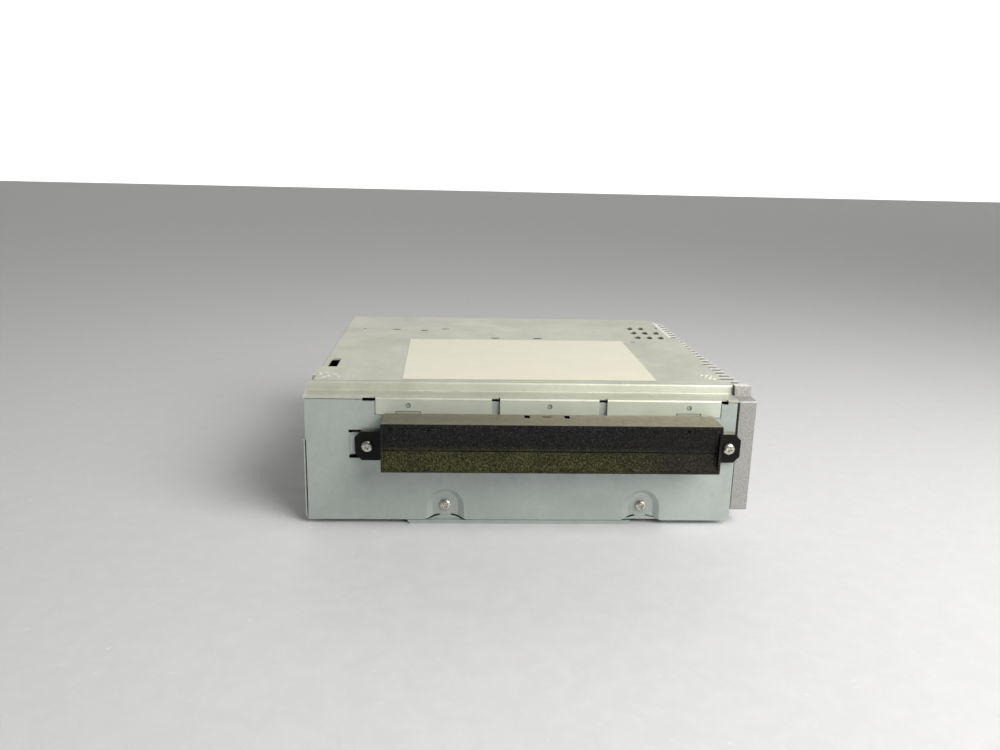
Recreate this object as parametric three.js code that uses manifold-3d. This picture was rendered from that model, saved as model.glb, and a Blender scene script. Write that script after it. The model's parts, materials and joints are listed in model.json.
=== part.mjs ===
// A car radio's receiver and disc player module: a steel box with a finned heat sink on its right side
// and a black bezel round the disc slot on its front. Millimetres, +Z up, the slot faces -Y, the fins +X.
// The origin is on the plane that it stands on, in the middle of the pan pressed into its floor.
import * as THREE from 'three';
import { mergeVertices } from 'three/addons/utils/BufferGeometryUtils.js';
import Module from 'manifold-3d';

const wasm = await Module();
wasm.setup();

// Clearances and tool sizes
const gap = 0.3; // between pieces that rest on or run in each other
const filmGap = 0.05; // a seat, or how far pieces of one solid run into each other
const overrun = 2; // how far a cut runs past the face that it opens
const pinSteps = 8; // sides of a pin or a small bore
const roundSteps = 12; // sides of a round bar or hole
const canSteps = 16; // sides of a can, a coil or a roller
const screwSteps = 10; // sides of a screw's head and shank
const fineSteps = 20; // sides of a large turned piece
const bendSteps = 3; // facets of a sheet-metal bend

// What the module plays
const disc = { radius: 60, thickness: 1.2, sideRoom: 5.2 };

// The player's frame, round the disc. Its origin is the spindle axis at the underside of a playing disc.
const frame = { sheet: 0.8, frontReach: 72, rearReach: 62, depthBelow: 14, heightAbove: 8.2 };
frame.half = disc.radius + disc.sideRoom + frame.sheet;
frame.wallIn = frame.half - frame.sheet;
frame.floorTop = -frame.depthBelow;
frame.floorLow = frame.floorTop - frame.sheet;

// The heat sink on the right side
const sink = {
  inset: 5.1,
  wall: 2.4,
  lift: 5,
  blockWidth: 7,
  blockRoom: 0.6,
  blockRear: 2,
  bevel: 0.6,
  ledge: 8,
  riser: 0.7,
  pitch: 5.45,
  finFront: 2.4,
  finRoot: 2.3,
  finTip: 1.9,
  frontTip: 6,
  rearTip: 0.6,
  padReach: 1.4,
  screwRise: 5,
  frontScrewFin: 2,
  rearScrewFin: 2,
};

// The amplifier stands between the player and the heat sink, under a clip of spring steel.
const amplifier = {
  thickness: 5,
  length: 32,
  height: 16,
  lift: 3,
  rearInset: 54,
  leads: 9,
  lead: 0.8,
  clip: 0.4,
};

// The rooms between the player and the casing. The right one holds the amplifier and its clip.
const bay = { left: 35, clipRoom: 0.5, front: 6, rear: 13.4, above: 22.7 };
bay.right = sink.inset + sink.padReach + amplifier.thickness + amplifier.clip + 2 * gap + bay.clipRoom;

// The circuit board under the player
const board = { level: 8, thickness: 1.6, partsRoom: 10.6, margin: 1 };
board.top = board.level + board.thickness;

// The casing. Its own origin is the lower edge of the front plate, in the middle of its outer face.
const casing = { sheet: 0.8, bend: 0.4 };
casing.width = 2 * frame.half + bay.left + bay.right;
casing.half = casing.width / 2;
casing.depth = bay.front + frame.frontReach + frame.rearReach + bay.rear;
const player = {
  x: (bay.left - bay.right) / 2,
  y: bay.front + frame.frontReach,
  z: board.top + board.partsRoom + frame.sheet + frame.depthBelow,
};
casing.height = player.z + bay.above;

// The front plate, and the top cover that hooks over it
const plate = { upperInset: 0.7, stepHeight: 35.3, flange: 8, lowerFlange: 7, cornerCut: 1.4 };
const cover = {
  ledgeDrop: 4,
  ledgeDepth: 9.9,
  riserRun: 0.7,
  leftShoulder: 11.4,
  rightShoulder: 16.6,
  leftInset: 2 * (casing.sheet + gap),
  rightInset: 2,
  stepBack: 48.4,
  rearInset: 5.8,
  skirt: 27,
  rearSkirt: 6,
  tabDrop: 7.4,
  tabGap: 3.4,
  pipShare: 0.473,
  hookRise: 1.6,
  leftNotch: 5.4,
  rightNotch: 3,
  notchDepth: 1.6,
  reliefDrop: 1.8,
  lugStart: 18.5,
  lugLength: 16,
  lugReach: 1.1,
  lugDrop: 3,
  pip: 0.8,
  edgeNotch: 2,
  edgeNotchLength: 5.5,
  middleTabShare: 0.287,
  tabSpanShare: 1.05,
  hookStartShare: 0.17,
  hookEndShare: 0.39,
  sideNotchShare: 0.29,
  rearNotchShare: 0.83,
};
cover.ledgeTop = casing.height - cover.ledgeDrop;
cover.ledgeLow = cover.ledgeTop - casing.sheet;
cover.low = casing.height - casing.sheet;
plate.top = cover.ledgeLow - gap;

// The bezel round the disc slot, with a felt lip above and below the slit
const bezel = {
  depth: 16.5,
  endWall: 6,
  sideRoom: 2,
  wall: 1.8,
  rim: 1,
  above: 11.9,
  below: 7.8,
  slitHeight: 1.6,
  valley: 2.2,
  felt: 1.1,
  tunnel: 6.4,
  tunnelWall: 1,
  corner: 0.5,
  eye: 1.1,
  eyeLength: 4.2,
  eyePitch: 8.2,
  eyeShift: -1.3,
  eyeInset: 3.4,
  mark: 1.8,
  markLength: 1.2,
  earReach: 12,
  earShift: 0.35,
  earHeight: 12.5,
  earDrop: 1.5,
  earThickness: 2,
  earCorner: 2.6,
  screwInset: 4.95,
};
bezel.slotHalf = disc.radius + bezel.sideRoom;
bezel.half = bezel.slotHalf + bezel.endWall;
bezel.slitLevel = player.z + disc.thickness / 2;
bezel.top = bezel.slitLevel + bezel.above - disc.thickness / 2;
bezel.low = bezel.slitLevel - bezel.below - disc.thickness / 2;
bezel.earSpan = bezel.half + bezel.earReach;
bezel.earLevel = player.z - bezel.earDrop;
bezel.earMiddle = player.x + bezel.earShift;
bezel.screwX = [-1, 1].map((side) => bezel.earMiddle + side * (bezel.earSpan - bezel.screwInset));

sink.base = casing.half - sink.inset;
sink.blockDepth = cover.ledgeDepth + sink.blockRoom;

// The chassis tray
const tray = {
  wallRoom: 2.9,
  frontFlange: 14,
  panInset: 18.4,
  panShort: 41.4,
  panDrop: 3.1,
  panDraw: 1.6,
  panCorner: 6,
  lipCorner: 1.2,
  lipSlant: 1.9,
  front: 2.7,
  post: 3,
  lugHalf: 3,
};
tray.wallTop = plate.stepHeight - casing.sheet - gap;
tray.rightWallTop = cover.ledgeLow - tray.wallRoom;
tray.floorLow = casing.sheet + gap;
tray.floorTop = tray.floorLow + casing.sheet;
tray.left = -casing.half + casing.sheet + gap;
tray.rear = casing.depth - casing.sheet - gap;
tray.lowest = tray.floorLow - tray.panDrop;
tray.right = sink.base - gap;
tray.panWidth = 2 * (frame.half - tray.panInset);
tray.panDepth = casing.depth - tray.panShort;

// Colours and finishes
function finish(color, roughness, metalness) {
  return new THREE.MeshStandardMaterial({ color, roughness, metalness });
}
const zincSteel = finish(0xb9bdb4, 0.42, 0.85);
const castAluminium = finish(0xa9a9a6, 0.6, 0.8);
const blackPlastic = finish(0x17171a, 0.45, 0);
const blackFelt = finish(0x1f1f1c, 0.95, 0);
const brightScrew = finish(0xd4d2c6, 0.3, 0.95);
const boardGreen = finish(0x1d5a35, 0.55, 0);
const connectorPlastic = finish(0x2b2d31, 0.5, 0);
const whitePlastic = finish(0xdedcd2, 0.5, 0);
const tinPlate = finish(0xc9ccd0, 0.35, 0.9);
const chipPlastic = finish(0x141416, 0.5, 0);
const canSleeve = finish(0x26324f, 0.4, 0.1);
const copper = finish(0xa4592a, 0.35, 0.9);
const amberFilm = finish(0xb0742a, 0.45, 0);
const blackRubber = finish(0x202022, 0.9, 0);
const polishedSteel = finish(0xd9dadd, 0.18, 1);
const creamPlastic = finish(0xe6dfc8, 0.5, 0);
const glass = finish(0x8fa6c8, 0.05, 0);
const paper = finish(0xf2ecd6, 0.7, 0);

// A closed geometry as a solid that can be joined and cut
function solidOf(geometry) {
  const bare = new THREE.BufferGeometry().setAttribute('position', geometry.getAttribute('position'));
  if (geometry.index) bare.setIndex(geometry.index);
  const merged = mergeVertices(bare, 1e-4);
  const corners = [...merged.index.array];
  const triangles = [];
  for (let i = 0; i < corners.length; i += 3) {
    const [a, b, c] = corners.slice(i, i + 3);
    if (a !== b && b !== c && c !== a) triangles.push(a, b, c);
  }
  return new wasm.Manifold(
    new wasm.Mesh({
      numProp: 3,
      vertProperties: new Float32Array(merged.attributes.position.array),
      triVerts: new Uint32Array(triangles),
    }),
  );
}

function geometryOf(solid) {
  const made = solid.getMesh();
  const geometry = new THREE.BufferGeometry();
  geometry.setAttribute('position', new THREE.BufferAttribute(made.vertProperties, 3));
  geometry.setIndex(new THREE.BufferAttribute(made.triVerts, 1));
  geometry.computeVertexNormals();
  return geometry;
}

const along = {
  x: new THREE.Matrix4().makeBasis(
    new THREE.Vector3(0, 1, 0),
    new THREE.Vector3(0, 0, 1),
    new THREE.Vector3(1, 0, 0),
  ),
  y: new THREE.Matrix4().makeBasis(
    new THREE.Vector3(1, 0, 0),
    new THREE.Vector3(0, 0, 1),
    new THREE.Vector3(0, -1, 0),
  ),
  z: new THREE.Matrix4(),
};

// An outline of [a, b] points or a Shape, drawn out along an axis from low to high.
// Along x the outline is in y and z, along y it is in x and z, and along z it is in x and y.
function prism(outline, axis, low, high) {
  const points = outline instanceof THREE.Shape ? [] : outline.map(([a, b]) => new THREE.Vector2(a, b));
  const shape = points.length ? new THREE.Shape(points) : outline;
  const geometry = new THREE.ExtrudeGeometry(shape, {
    depth: high - low,
    bevelEnabled: false,
    steps: 1,
    curveSegments: bendSteps,
  });
  geometry.translate(0, 0, axis === 'y' ? -high : low);
  return solidOf(geometry.applyMatrix4(along[axis]));
}

// A rectangular solid between two values on each axis
function block([x0, x1], [y0, y1], [z0, z1]) {
  const geometry = new THREE.BoxGeometry(x1 - x0, y1 - y0, z1 - z0);
  return solidOf(geometry.translate((x0 + x1) / 2, (y0 + y1) / 2, (z0 + z1) / 2));
}

// A round bar along an axis, about a centre given on the other two axes
function bar(axis, radius, low, high, [a, b], sides = roundSteps) {
  const geometry = new THREE.CylinderGeometry(radius, radius, high - low, sides);
  geometry.rotateX(Math.PI / 2).translate(a, b, 0);
  geometry.translate(0, 0, axis === 'y' ? -(low + high) / 2 : (low + high) / 2);
  return solidOf(geometry.applyMatrix4(along[axis]));
}

// A turned solid about the Z axis, from [radius, height] points that start and end on the axis
function turned(profile, sides = fineSteps) {
  const geometry = new THREE.LatheGeometry(
    profile.map(([r, h]) => new THREE.Vector2(r, h)),
    sides,
  );
  return solidOf(geometry.rotateX(Math.PI / 2));
}

function joined(...solids) {
  return solids.flat().reduce((sum, solid) => sum.add(solid));
}

function cut(solid, tools) {
  return tools.reduce((rest, tool) => rest.subtract(tool), solid);
}

// A range made longer at both ends
function grown([low, high], by) {
  return [low - by, high + by];
}

function sorted(a, b) {
  return a < b ? [a, b] : [b, a];
}

// A rectangular outline. A corner's radius stays a little under half of the shorter side.
const cornerShare = 0.4975;
function rectangle([a0, a1], [b0, b1], corner = 0) {
  const shape = new THREE.Shape();
  if (!corner) {
    shape.setFromPoints([
      new THREE.Vector2(a0, b0),
      new THREE.Vector2(a1, b0),
      new THREE.Vector2(a1, b1),
      new THREE.Vector2(a0, b1),
    ]);
    return shape;
  }
  const r = Math.min(corner, cornerShare * (a1 - a0), cornerShare * (b1 - b0));
  shape.absarc(a1 - r, b0 + r, r, -Math.PI / 2, 0);
  shape.absarc(a1 - r, b1 - r, r, 0, Math.PI / 2);
  shape.absarc(a0 + r, b1 - r, r, Math.PI / 2, Math.PI);
  shape.absarc(a0 + r, b0 + r, r, Math.PI, Math.PI * 1.5);
  shape.closePath();
  return shape;
}

// The outline of a bent sheet. The path is one face, and the sheet's thickness lies on the left of it.
function bentSheet(path, thickness, bendRadius) {
  const points = path.map(([a, b]) => new THREE.Vector2(a, b));
  const normals = points.slice(1).map((p, i) => {
    const d = p.clone().sub(points[i]).normalize();
    return new THREE.Vector2(-d.y, d.x);
  });
  const near = [points[0].clone()];
  const far = [points[0].clone().addScaledVector(normals[0], thickness)];
  for (let i = 1; i < points.length - 1; i++) {
    const [n0, n1] = [normals[i - 1], normals[i]];
    const side = Math.sign(n0.cross(n1));
    const turn = n0.angleTo(n1);
    const [nearRadius, farRadius] =
      side > 0 ? [bendRadius + thickness, bendRadius] : [bendRadius, bendRadius + thickness];
    const inwards = n0.clone().add(n1);
    const centre = points[i].clone().addScaledVector(inwards, (side * nearRadius) / (1 + n0.dot(n1)));
    for (let k = 0; k <= bendSteps; k++) {
      const ray = n0.clone().rotateAround(new THREE.Vector2(), (side * turn * k) / bendSteps);
      near.push(centre.clone().addScaledVector(ray, -side * nearRadius));
      far.push(centre.clone().addScaledVector(ray, -side * farRadius));
    }
  }
  near.push(points.at(-1).clone());
  far.push(points.at(-1).clone().addScaledVector(normals.at(-1), thickness));
  return [...near, ...far.reverse()].map((p) => [p.x, p.y]);
}

// A solid that changes evenly from one outline to another with as many points, along an axis
function loft(axis, from, fromAt, to, toAt) {
  const count = from.length;
  const positions = [];
  from.forEach(([a, b]) => positions.push(a, b, axis === 'y' ? -fromAt : fromAt));
  to.forEach(([a, b]) => positions.push(a, b, axis === 'y' ? -toAt : toAt));
  const cap = THREE.ShapeUtils.triangulateShape(
    from.map(([a, b]) => new THREE.Vector2(a, b)),
    [],
  );
  const triangles = [];
  cap.forEach(([i, j, k]) => triangles.push(i, k, j, i + count, j + count, k + count));
  for (let i = 0; i < count; i++) {
    const next = (i + 1) % count;
    triangles.push(i, next, next + count, i, next + count, i + count);
  }
  const rises = (axis === 'y' ? fromAt - toAt : toAt - fromAt) > 0;
  if (!rises) triangles.reverse();
  const geometry = new THREE.BufferGeometry();
  geometry.setAttribute('position', new THREE.Float32BufferAttribute(positions, 3));
  geometry.setIndex(triangles);
  return solidOf(geometry.applyMatrix4(along[axis]));
}

// Points round a rectangle with round corners, anticlockwise, as many whatever its size
function roundedPoints([a0, a1], [b0, b1], corner, steps = bendSteps) {
  const points = [];
  const centres = [
    [a1 - corner, b0 + corner],
    [a1 - corner, b1 - corner],
    [a0 + corner, b1 - corner],
    [a0 + corner, b0 + corner],
  ];
  centres.forEach(([a, b], quarter) => {
    for (let k = 0; k <= steps; k++) {
      const angle = ((quarter - 1 + k / steps) * Math.PI) / 2;
      points.push([a + corner * Math.cos(angle), b + corner * Math.sin(angle)]);
    }
  });
  return points;
}

// An arch: straight sides that rise from a lower edge to a half-round top
function archPoints(middle, half, low, crown, steps = pinSteps) {
  const points = [];
  for (let k = 0; k <= steps; k++) {
    const angle = (k / steps) * Math.PI;
    points.push([middle + half * Math.cos(angle), crown - half + half * Math.sin(angle)]);
  }
  return [[middle + half, low], ...points, [middle - half, low]].filter(
    (p, i, all) => i === 0 || Math.hypot(p[0] - all[i - 1][0], p[1] - all[i - 1][1]) > 1e-6,
  );
}

function piece(parent, name, solid, material, [x, y, z] = [0, 0, 0]) {
  const mesh = new THREE.Mesh(geometryOf(solid), material);
  mesh.name = name;
  mesh.position.set(x, y, z);
  parent.add(mesh);
  return mesh;
}

// Screws

// A pan-head screw with a cross recess. It lies along +Z with the underside of its head at the origin.
const screw = {
  head: 2.5,
  headHeight: 1.6,
  shank: 1.3,
  length: 5,
  recess: 0.6,
  recessReach: 1.4,
  recessDepth: 0.8,
};
function panHeadScrew(length = screw.length) {
  const rim = screw.headHeight / 3;
  const body = turned(
    [
      [0, -length],
      [screw.shank, -length],
      [screw.shank, 0],
      [screw.head, 0],
      [screw.head, rim],
      [screw.head - rim, screw.headHeight - rim / 2],
      [screw.head / 3, screw.headHeight],
      [0, screw.headHeight],
    ],
    screwSteps,
  );
  const top = [screw.headHeight - screw.recessDepth, screw.headHeight + overrun];
  const arm = [-screw.recessReach, screw.recessReach];
  const width = [-screw.recess / 2, screw.recess / 2];
  return cut(body, [block(arm, width, top), block(width, arm, top)]);
}

// Casing

// The pockets that are pressed into the front plate for its screws
const pocket = {
  half: 5.3,
  flare: 2.6,
  crown: 12.1,
  crownFlare: 1.9,
  depth: 1.6,
  level: board.level - screw.shank - gap - filmGap,
  inset: 20.3,
  shift: -0.9,
  mouthHalf: 8.8,
  mouthRise: 2.1,
  mouthShare: 0.8,
  tongue: 2.4,
};
const frontScrewX = [-1, 1].map(
  (side) => player.x + pocket.shift + side * (disc.radius + bezel.sideRoom - pocket.inset),
);

// The strips behind the bezel's ears, each set back between two slots
const strip = { slot: 1.45, height: 9.4, sink: 0.9, slope: 1.9, inset: 2.5, length: 18 };

// Holes in the tray's left wall for the vehicle's bracket
const sideHole = { radius: 2.5, level: 17, inset: 37 };
const sideHoles = [tray.front + sideHole.inset, tray.rear - sideHole.inset].map((y) => [y, sideHole.level]);

// The rear plate stands inside the cover's rear skirt and is screwed to two lugs of the tray.
const rear = { face: tray.rear - casing.sheet, screwInset: 14, screwLevel: pocket.level, lugRise: 4.2 };
const rearScrewX = [tray.left + rear.screwInset, tray.right - rear.screwInset];

// Stand-offs of the tray: low ones under the board, tall ones through it that carry the player's frame
board.x = [tray.left + casing.sheet + board.margin, tray.right - casing.sheet - board.margin];
board.y = [tray.front + casing.sheet + board.margin, rear.face - 2 * casing.sheet - board.margin];
const post = {
  radius: 1.9,
  sideInset: 9,
  frontInset: 19,
  rearInset: 27,
  frameInset: 3,
  frameEndInset: 6,
};
const boardPosts = [board.x[0] + post.sideInset, board.x[1] - post.sideInset].flatMap((x) => [
  [x, board.y[0] + post.frontInset],
  [x, board.y[1] - post.rearInset],
]);
const framePosts = [-1, 1].flatMap((side) => [
  [player.x + side * (frame.half - post.frameInset), player.y - frame.frontReach + post.frameEndInset],
  [player.x + side * (frame.half - post.frameInset), player.y + frame.rearReach - post.frameEndInset],
]);
const frameSeat = player.z + frame.floorLow - gap;

amplifier.x = [sink.base - sink.padReach - gap - amplifier.thickness, sink.base - sink.padReach - gap];
amplifier.y = [casing.depth - amplifier.rearInset, casing.depth - amplifier.rearInset + amplifier.length];
amplifier.z = [board.top + amplifier.lift, board.top + amplifier.lift + amplifier.height];

// Fins along the heat sink, and its two screws, each half way between two fins
sink.finStart = sink.blockDepth + sink.finFront;
sink.finCount = Math.floor((tray.rear - sink.finStart) / sink.pitch);
sink.screwLevel = player.z + sink.screwRise;
const sinkScrews = [sink.frontScrewFin, sink.finCount - sink.rearScrewFin].map((fin) => [
  sink.finStart + fin * sink.pitch,
  sink.screwLevel,
]);

function trayPan() {
  const half = tray.panWidth / 2;
  const top = { x: grown([-half, half], tray.panDraw), y: [tray.front, tray.front + tray.panDepth] };
  const low = { x: [-half, half], y: [top.y[0] + tray.panDraw / 4, top.y[1] - tray.panDraw] };
  const inside = (range) => [range[0] + casing.sheet, range[1] - casing.sheet];
  const corner = tray.panCorner - casing.sheet;
  const outer = loft(
    'z',
    roundedPoints(top.x, top.y, tray.panCorner),
    tray.floorTop,
    roundedPoints(low.x, low.y, tray.panCorner),
    tray.lowest,
  );
  const inner = loft(
    'z',
    roundedPoints(inside(top.x), inside(top.y), corner),
    tray.floorTop + filmGap,
    roundedPoints(inside(low.x), inside(low.y), corner),
    tray.lowest + casing.sheet,
  );
  return { outer, inner };
}

function trayHoles() {
  const screwHole = screw.shank + gap;
  const wall = [tray.right - overrun, tray.right + overrun];
  const front = [tray.front - overrun, tray.front + overrun];
  const lugs = [rear.face - 2 * overrun, rear.face];
  return [
    ...sideHoles.map((at) => bar('x', sideHole.radius, tray.left - overrun, tray.left + overrun, at)),
    ...sinkScrews.map((at) => bar('x', screwHole, ...wall, at)),
    ...frontScrewX.map((x) => bar('y', screwHole, ...front, [x, pocket.level])),
    ...rearScrewX.map((x) => bar('y', screwHole, ...lugs, [x, rear.screwLevel])),
    block(wall, grown(amplifier.y, overrun), grown(amplifier.z, overrun)),
    ...frontScrewX.map((x) =>
      block(
        grown([x, x], pocket.mouthHalf),
        [tray.front - overrun, tray.front + tray.panCorner],
        [tray.lowest + casing.sheet, pocket.mouthRise + gap],
      ),
    ),
  ];
}

// The pan's floor runs on under the front plate and turns up to its lower edge.
function panLip() {
  const half = tray.panWidth / 2;
  const { lowest, lipCorner, lipSlant, panCorner } = tray;
  const edge = [
    [-half, -gap],
    [-half, lowest + lipCorner],
    [-half + lipCorner, lowest],
    [half - lipSlant, lowest],
    [half, -gap],
  ];
  const floorX = [-half + lipCorner, half - lipSlant];
  const floor = block(floorX, [gap, tray.front + panCorner], [lowest, lowest + casing.sheet]);
  return joined(prism(edge, 'y', gap, gap + casing.sheet), floor);
}

function chassisTray() {
  const section = bentSheet(
    [
      [tray.left, tray.wallTop],
      [tray.left, tray.floorLow],
      [tray.right, tray.floorLow],
      [tray.right, tray.rightWallTop],
    ],
    casing.sheet,
    casing.bend,
  );
  const shell = prism(section, 'y', tray.front, tray.rear);
  const flangeX = [tray.left + 2 * casing.sheet, tray.right - 2 * casing.sheet];
  const flangeY = [tray.front, tray.front + casing.sheet];
  const front = prism(rectangle(flangeX, [tray.floorLow, tray.frontFlange]), 'y', ...flangeY);
  const lugY = [rear.face - gap - casing.sheet, rear.face - gap];
  const lugs = rearScrewX.map((x) =>
    block([x - tray.lugHalf, x + tray.lugHalf], lugY, [tray.floorLow, rear.screwLevel + rear.lugRise]),
  );
  const low = boardPosts.map((at) => bar('z', tray.post, tray.floorLow, board.level - gap, at));
  const tall = framePosts.map((at) => bar('z', post.radius, tray.floorLow, frameSeat, at));
  const pan = trayPan();
  const body = joined(shell, front, lugs, low, tall, pan.outer).subtract(pan.inner);
  return joined(cut(body, trayHoles()), panLip());
}

// The three tabs that the cover folds down over the front plate, from left to right
const tabs = (() => {
  const reach = bezel.half * cover.tabSpanShare;
  const middle = reach * cover.middleTabShare;
  const inner = middle + cover.tabGap;
  const length = reach - inner;
  const [near, far] = [reach - cover.hookStartShare * length, reach - cover.hookEndShare * length];
  const side = (s) => ({
    x: sorted(player.x + s * inner, player.x + s * reach),
    hook: sorted(player.x + s * near, player.x + s * far),
    pip: player.x + (s * (near + far)) / 2,
  });
  return [side(-1), { x: [player.x - middle, player.x + middle], pip: player.x }, side(1)];
})();
const [leftTab, middleTab, rightTab] = tabs;
const tabSpan = [leftTab.x[0], rightTab.x[1]];
const tabFoot = cover.ledgeTop - cover.tabDrop;
const pipLevel = cover.ledgeTop - cover.tabDrop * cover.pipShare;
const hooks = [leftTab.hook, rightTab.hook];
const hookTop = tabFoot + cover.hookRise;

// The bend is notched beside each tab, and the plate's edge is lower there.
const reliefs = [
  [tabSpan[0] - cover.leftNotch, tabSpan[0]],
  [leftTab.x[1], middleTab.x[0]],
  [middleTab.x[1], rightTab.x[0]],
  [tabSpan[1], tabSpan[1] + cover.rightNotch],
];

// The middle of the plate is set back behind the tabs, so that their faces lie flush with it.
// Two lugs stand out of it into notches of the outer tabs and hold them down.
function plateSetBack() {
  const back = [casing.sheet + gap, 2 * casing.sheet + gap];
  const low = tabFoot - gap - casing.sheet;
  const zone = grown(tabSpan, gap);
  const outside = grown(zone, casing.sheet);
  const wall = block(outside, back, [low, plate.top]);
  const web = block(outside, [0, back[1]], [low, low + casing.sheet]);
  const cheeks = [
    block([outside[0], zone[0]], [0, back[1]], [low, plate.top]),
    block([zone[1], outside[1]], [0, back[1]], [low, plate.top]),
  ];
  const lugs = hooks.map((x) => block(grown(x, -gap), [0, back[1]], [low, hookTop - gap]));
  const pipY = [casing.sheet / 2, back[1]];
  const pips = tabs.map((tab) => bar('y', cover.pip, ...pipY, [tab.pip, pipLevel], pinSteps));
  const room = block(zone, [-overrun, back[0]], [low + casing.sheet, plate.top + overrun]);
  const dips = reliefs.map((x) =>
    block(x, [-overrun, back[1] + overrun], [cover.ledgeTop - cover.reliefDrop, plate.top + overrun]),
  );
  return { solids: [wall, web, ...cheeks, ...lugs], pips, room, dips };
}

// A pocket with drawn walls round a screw, open at the plate's lower edge
function platePocket(x) {
  const { half, flare, crown, crownFlare, depth, mouthHalf, mouthRise, tongue, mouthShare } = pocket;
  const { sheet } = casing;
  const body = loft(
    'y',
    archPoints(x, half + flare + sheet, 0, crown + crownFlare + sheet),
    0,
    archPoints(x, half + sheet, 0, crown + sheet),
    depth + sheet,
  );
  const hollow = loft(
    'y',
    archPoints(x, half + flare, -overrun, crown + crownFlare),
    -filmGap,
    archPoints(x, half, -overrun, crown),
    depth,
  );
  const mouth = prism(
    [
      [x - mouthHalf, -overrun],
      [x + mouthHalf, -overrun],
      [x + mouthHalf, 0],
      [x + mouthHalf / 2, mouthRise * mouthShare],
      [x + tongue, mouthRise],
      [x - tongue, mouthRise],
      [x - mouthHalf / 2, mouthRise * mouthShare],
      [x - mouthHalf, 0],
    ],
    'y',
    -overrun,
    2 * overrun,
  );
  const kept = block([x - tongue, x + tongue], [-overrun, 2 * overrun], [casing.sheet, mouthRise + gap]);
  const hole = bar('y', screw.shank + gap, 0, 2 * overrun, [x, pocket.level]);
  return { body, tools: [hollow, cut(mouth, [kept]), hole] };
}

// The strip behind an ear; the right one runs out at the plate's edge
function plateStrip(side) {
  const edge = casing.half - plate.upperInset;
  const inner = player.x + side * (bezel.slotHalf + strip.inset);
  const outer = side < 0 ? inner - strip.length : Math.min(inner + strip.length, edge);
  const path = [
    [inner, 0],
    [inner + side * strip.slope, strip.sink],
    [outer - side * strip.slope, strip.sink],
    [outer, side < 0 ? 0 : strip.sink],
  ];
  const outline = [...path, ...path.map(([x, y]) => [x, y + casing.sheet]).reverse()];
  const level = [bezel.earLevel - strip.height / 2, bezel.earLevel + strip.height / 2];
  const foot = block([edge - casing.sheet, edge], [0, 2 * casing.sheet], level);
  return {
    window: block(sorted(inner, outer), [-overrun, casing.sheet + filmGap], grown(level, strip.slot)),
    solids: side < 0 ? [prism(outline, 'z', ...level)] : [prism(outline, 'z', ...level), foot],
    hole: bar('y', screw.shank + gap, 0, 2 * overrun, [bezel.screwX[side < 0 ? 0 : 1], bezel.earLevel]),
  };
}

function plateFlanges(side) {
  const outer = casing.half;
  const upper = outer - plate.upperInset;
  const sheetAt = (x) => sorted(side * x, side * (x - casing.sheet));
  const footX = sorted(side * (tray.panWidth / 2 + 2 * tray.panDraw), side * (outer - 2 * plate.cornerCut));
  return [
    block(sheetAt(outer), [0, plate.flange], [plate.cornerCut + casing.sheet, plate.stepHeight]),
    block(sheetAt(upper), [0, plate.flange], [plate.stepHeight - casing.sheet, plate.top]),
    block(footX, [0, plate.lowerFlange], [0, casing.sheet]),
  ];
}

function frontPlate() {
  const outer = casing.half;
  const upper = outer - plate.upperInset;
  const half = [
    [outer - plate.cornerCut, 0],
    [outer, plate.cornerCut],
    [outer, plate.stepHeight],
    [upper, plate.stepHeight],
    [upper, plate.top],
  ];
  const outline = [...half, ...half.map(([x, z]) => [-x, z]).reverse()];
  const face = prism(outline, 'y', 0, casing.sheet);
  const setBack = plateSetBack();
  const strips = [-1, 1].map(plateStrip);
  const pockets = frontScrewX.map(platePocket);
  const discSlot = block(
    grown([player.x, player.x], bezel.slotHalf - gap),
    [-overrun, overrun],
    grown([bezel.slitLevel, bezel.slitLevel], bezel.tunnel / 2),
  );
  const windows = strips.map((s) => s.window);
  const base = cut(joined(face, plateFlanges(-1), plateFlanges(1)), [setBack.room, ...windows]);
  const bodies = [...setBack.solids, ...strips.flatMap((s) => s.solids), ...pockets.map((p) => p.body)];
  const holes = [...strips.map((s) => s.hole), ...pockets.flatMap((p) => p.tools)];
  const tools = [discSlot, ...setBack.dips, ...holes];
  return joined(cut(joined(base, bodies), tools), setBack.pips);
}

// Air slots over the amplifier, a slot at the left, and small slots that locate what lies under the cover
const vent = {
  width: 3,
  length: 7,
  pitchX: 6.1,
  pitchY: 11.7,
  rows: 3,
  columns: 3,
  sideInset: 22.4,
  rearInset: 48.9,
};
const sideSlot = { inset: 3, width: 4.2, start: 24.1, length: 15 };
const locating = { width: 4.4, length: 2.2 };
const locatingShares = [
  [-0.51, 0.752],
  [-0.672, 0.762],
  [-0.38, 0.78],
  [-0.089, 0.64],
  [0.154, 0.641],
];

function ventSlots(through) {
  const slots = [];
  for (let row = 0; row < vent.rows; row++) {
    const columns = row < vent.rows - 1 ? vent.columns : vent.columns - 1;
    for (let column = 0; column < columns; column++) {
      const x = casing.half - vent.sideInset + column * vent.pitchX;
      const y = casing.depth - vent.rearInset + row * vent.pitchY;
      const [across, back] = [grown([x, x], vent.width / 2), grown([y, y], vent.length / 2)];
      slots.push(prism(rectangle(across, back, vent.width / 2), 'z', ...through));
    }
  }
  return slots;
}

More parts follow.
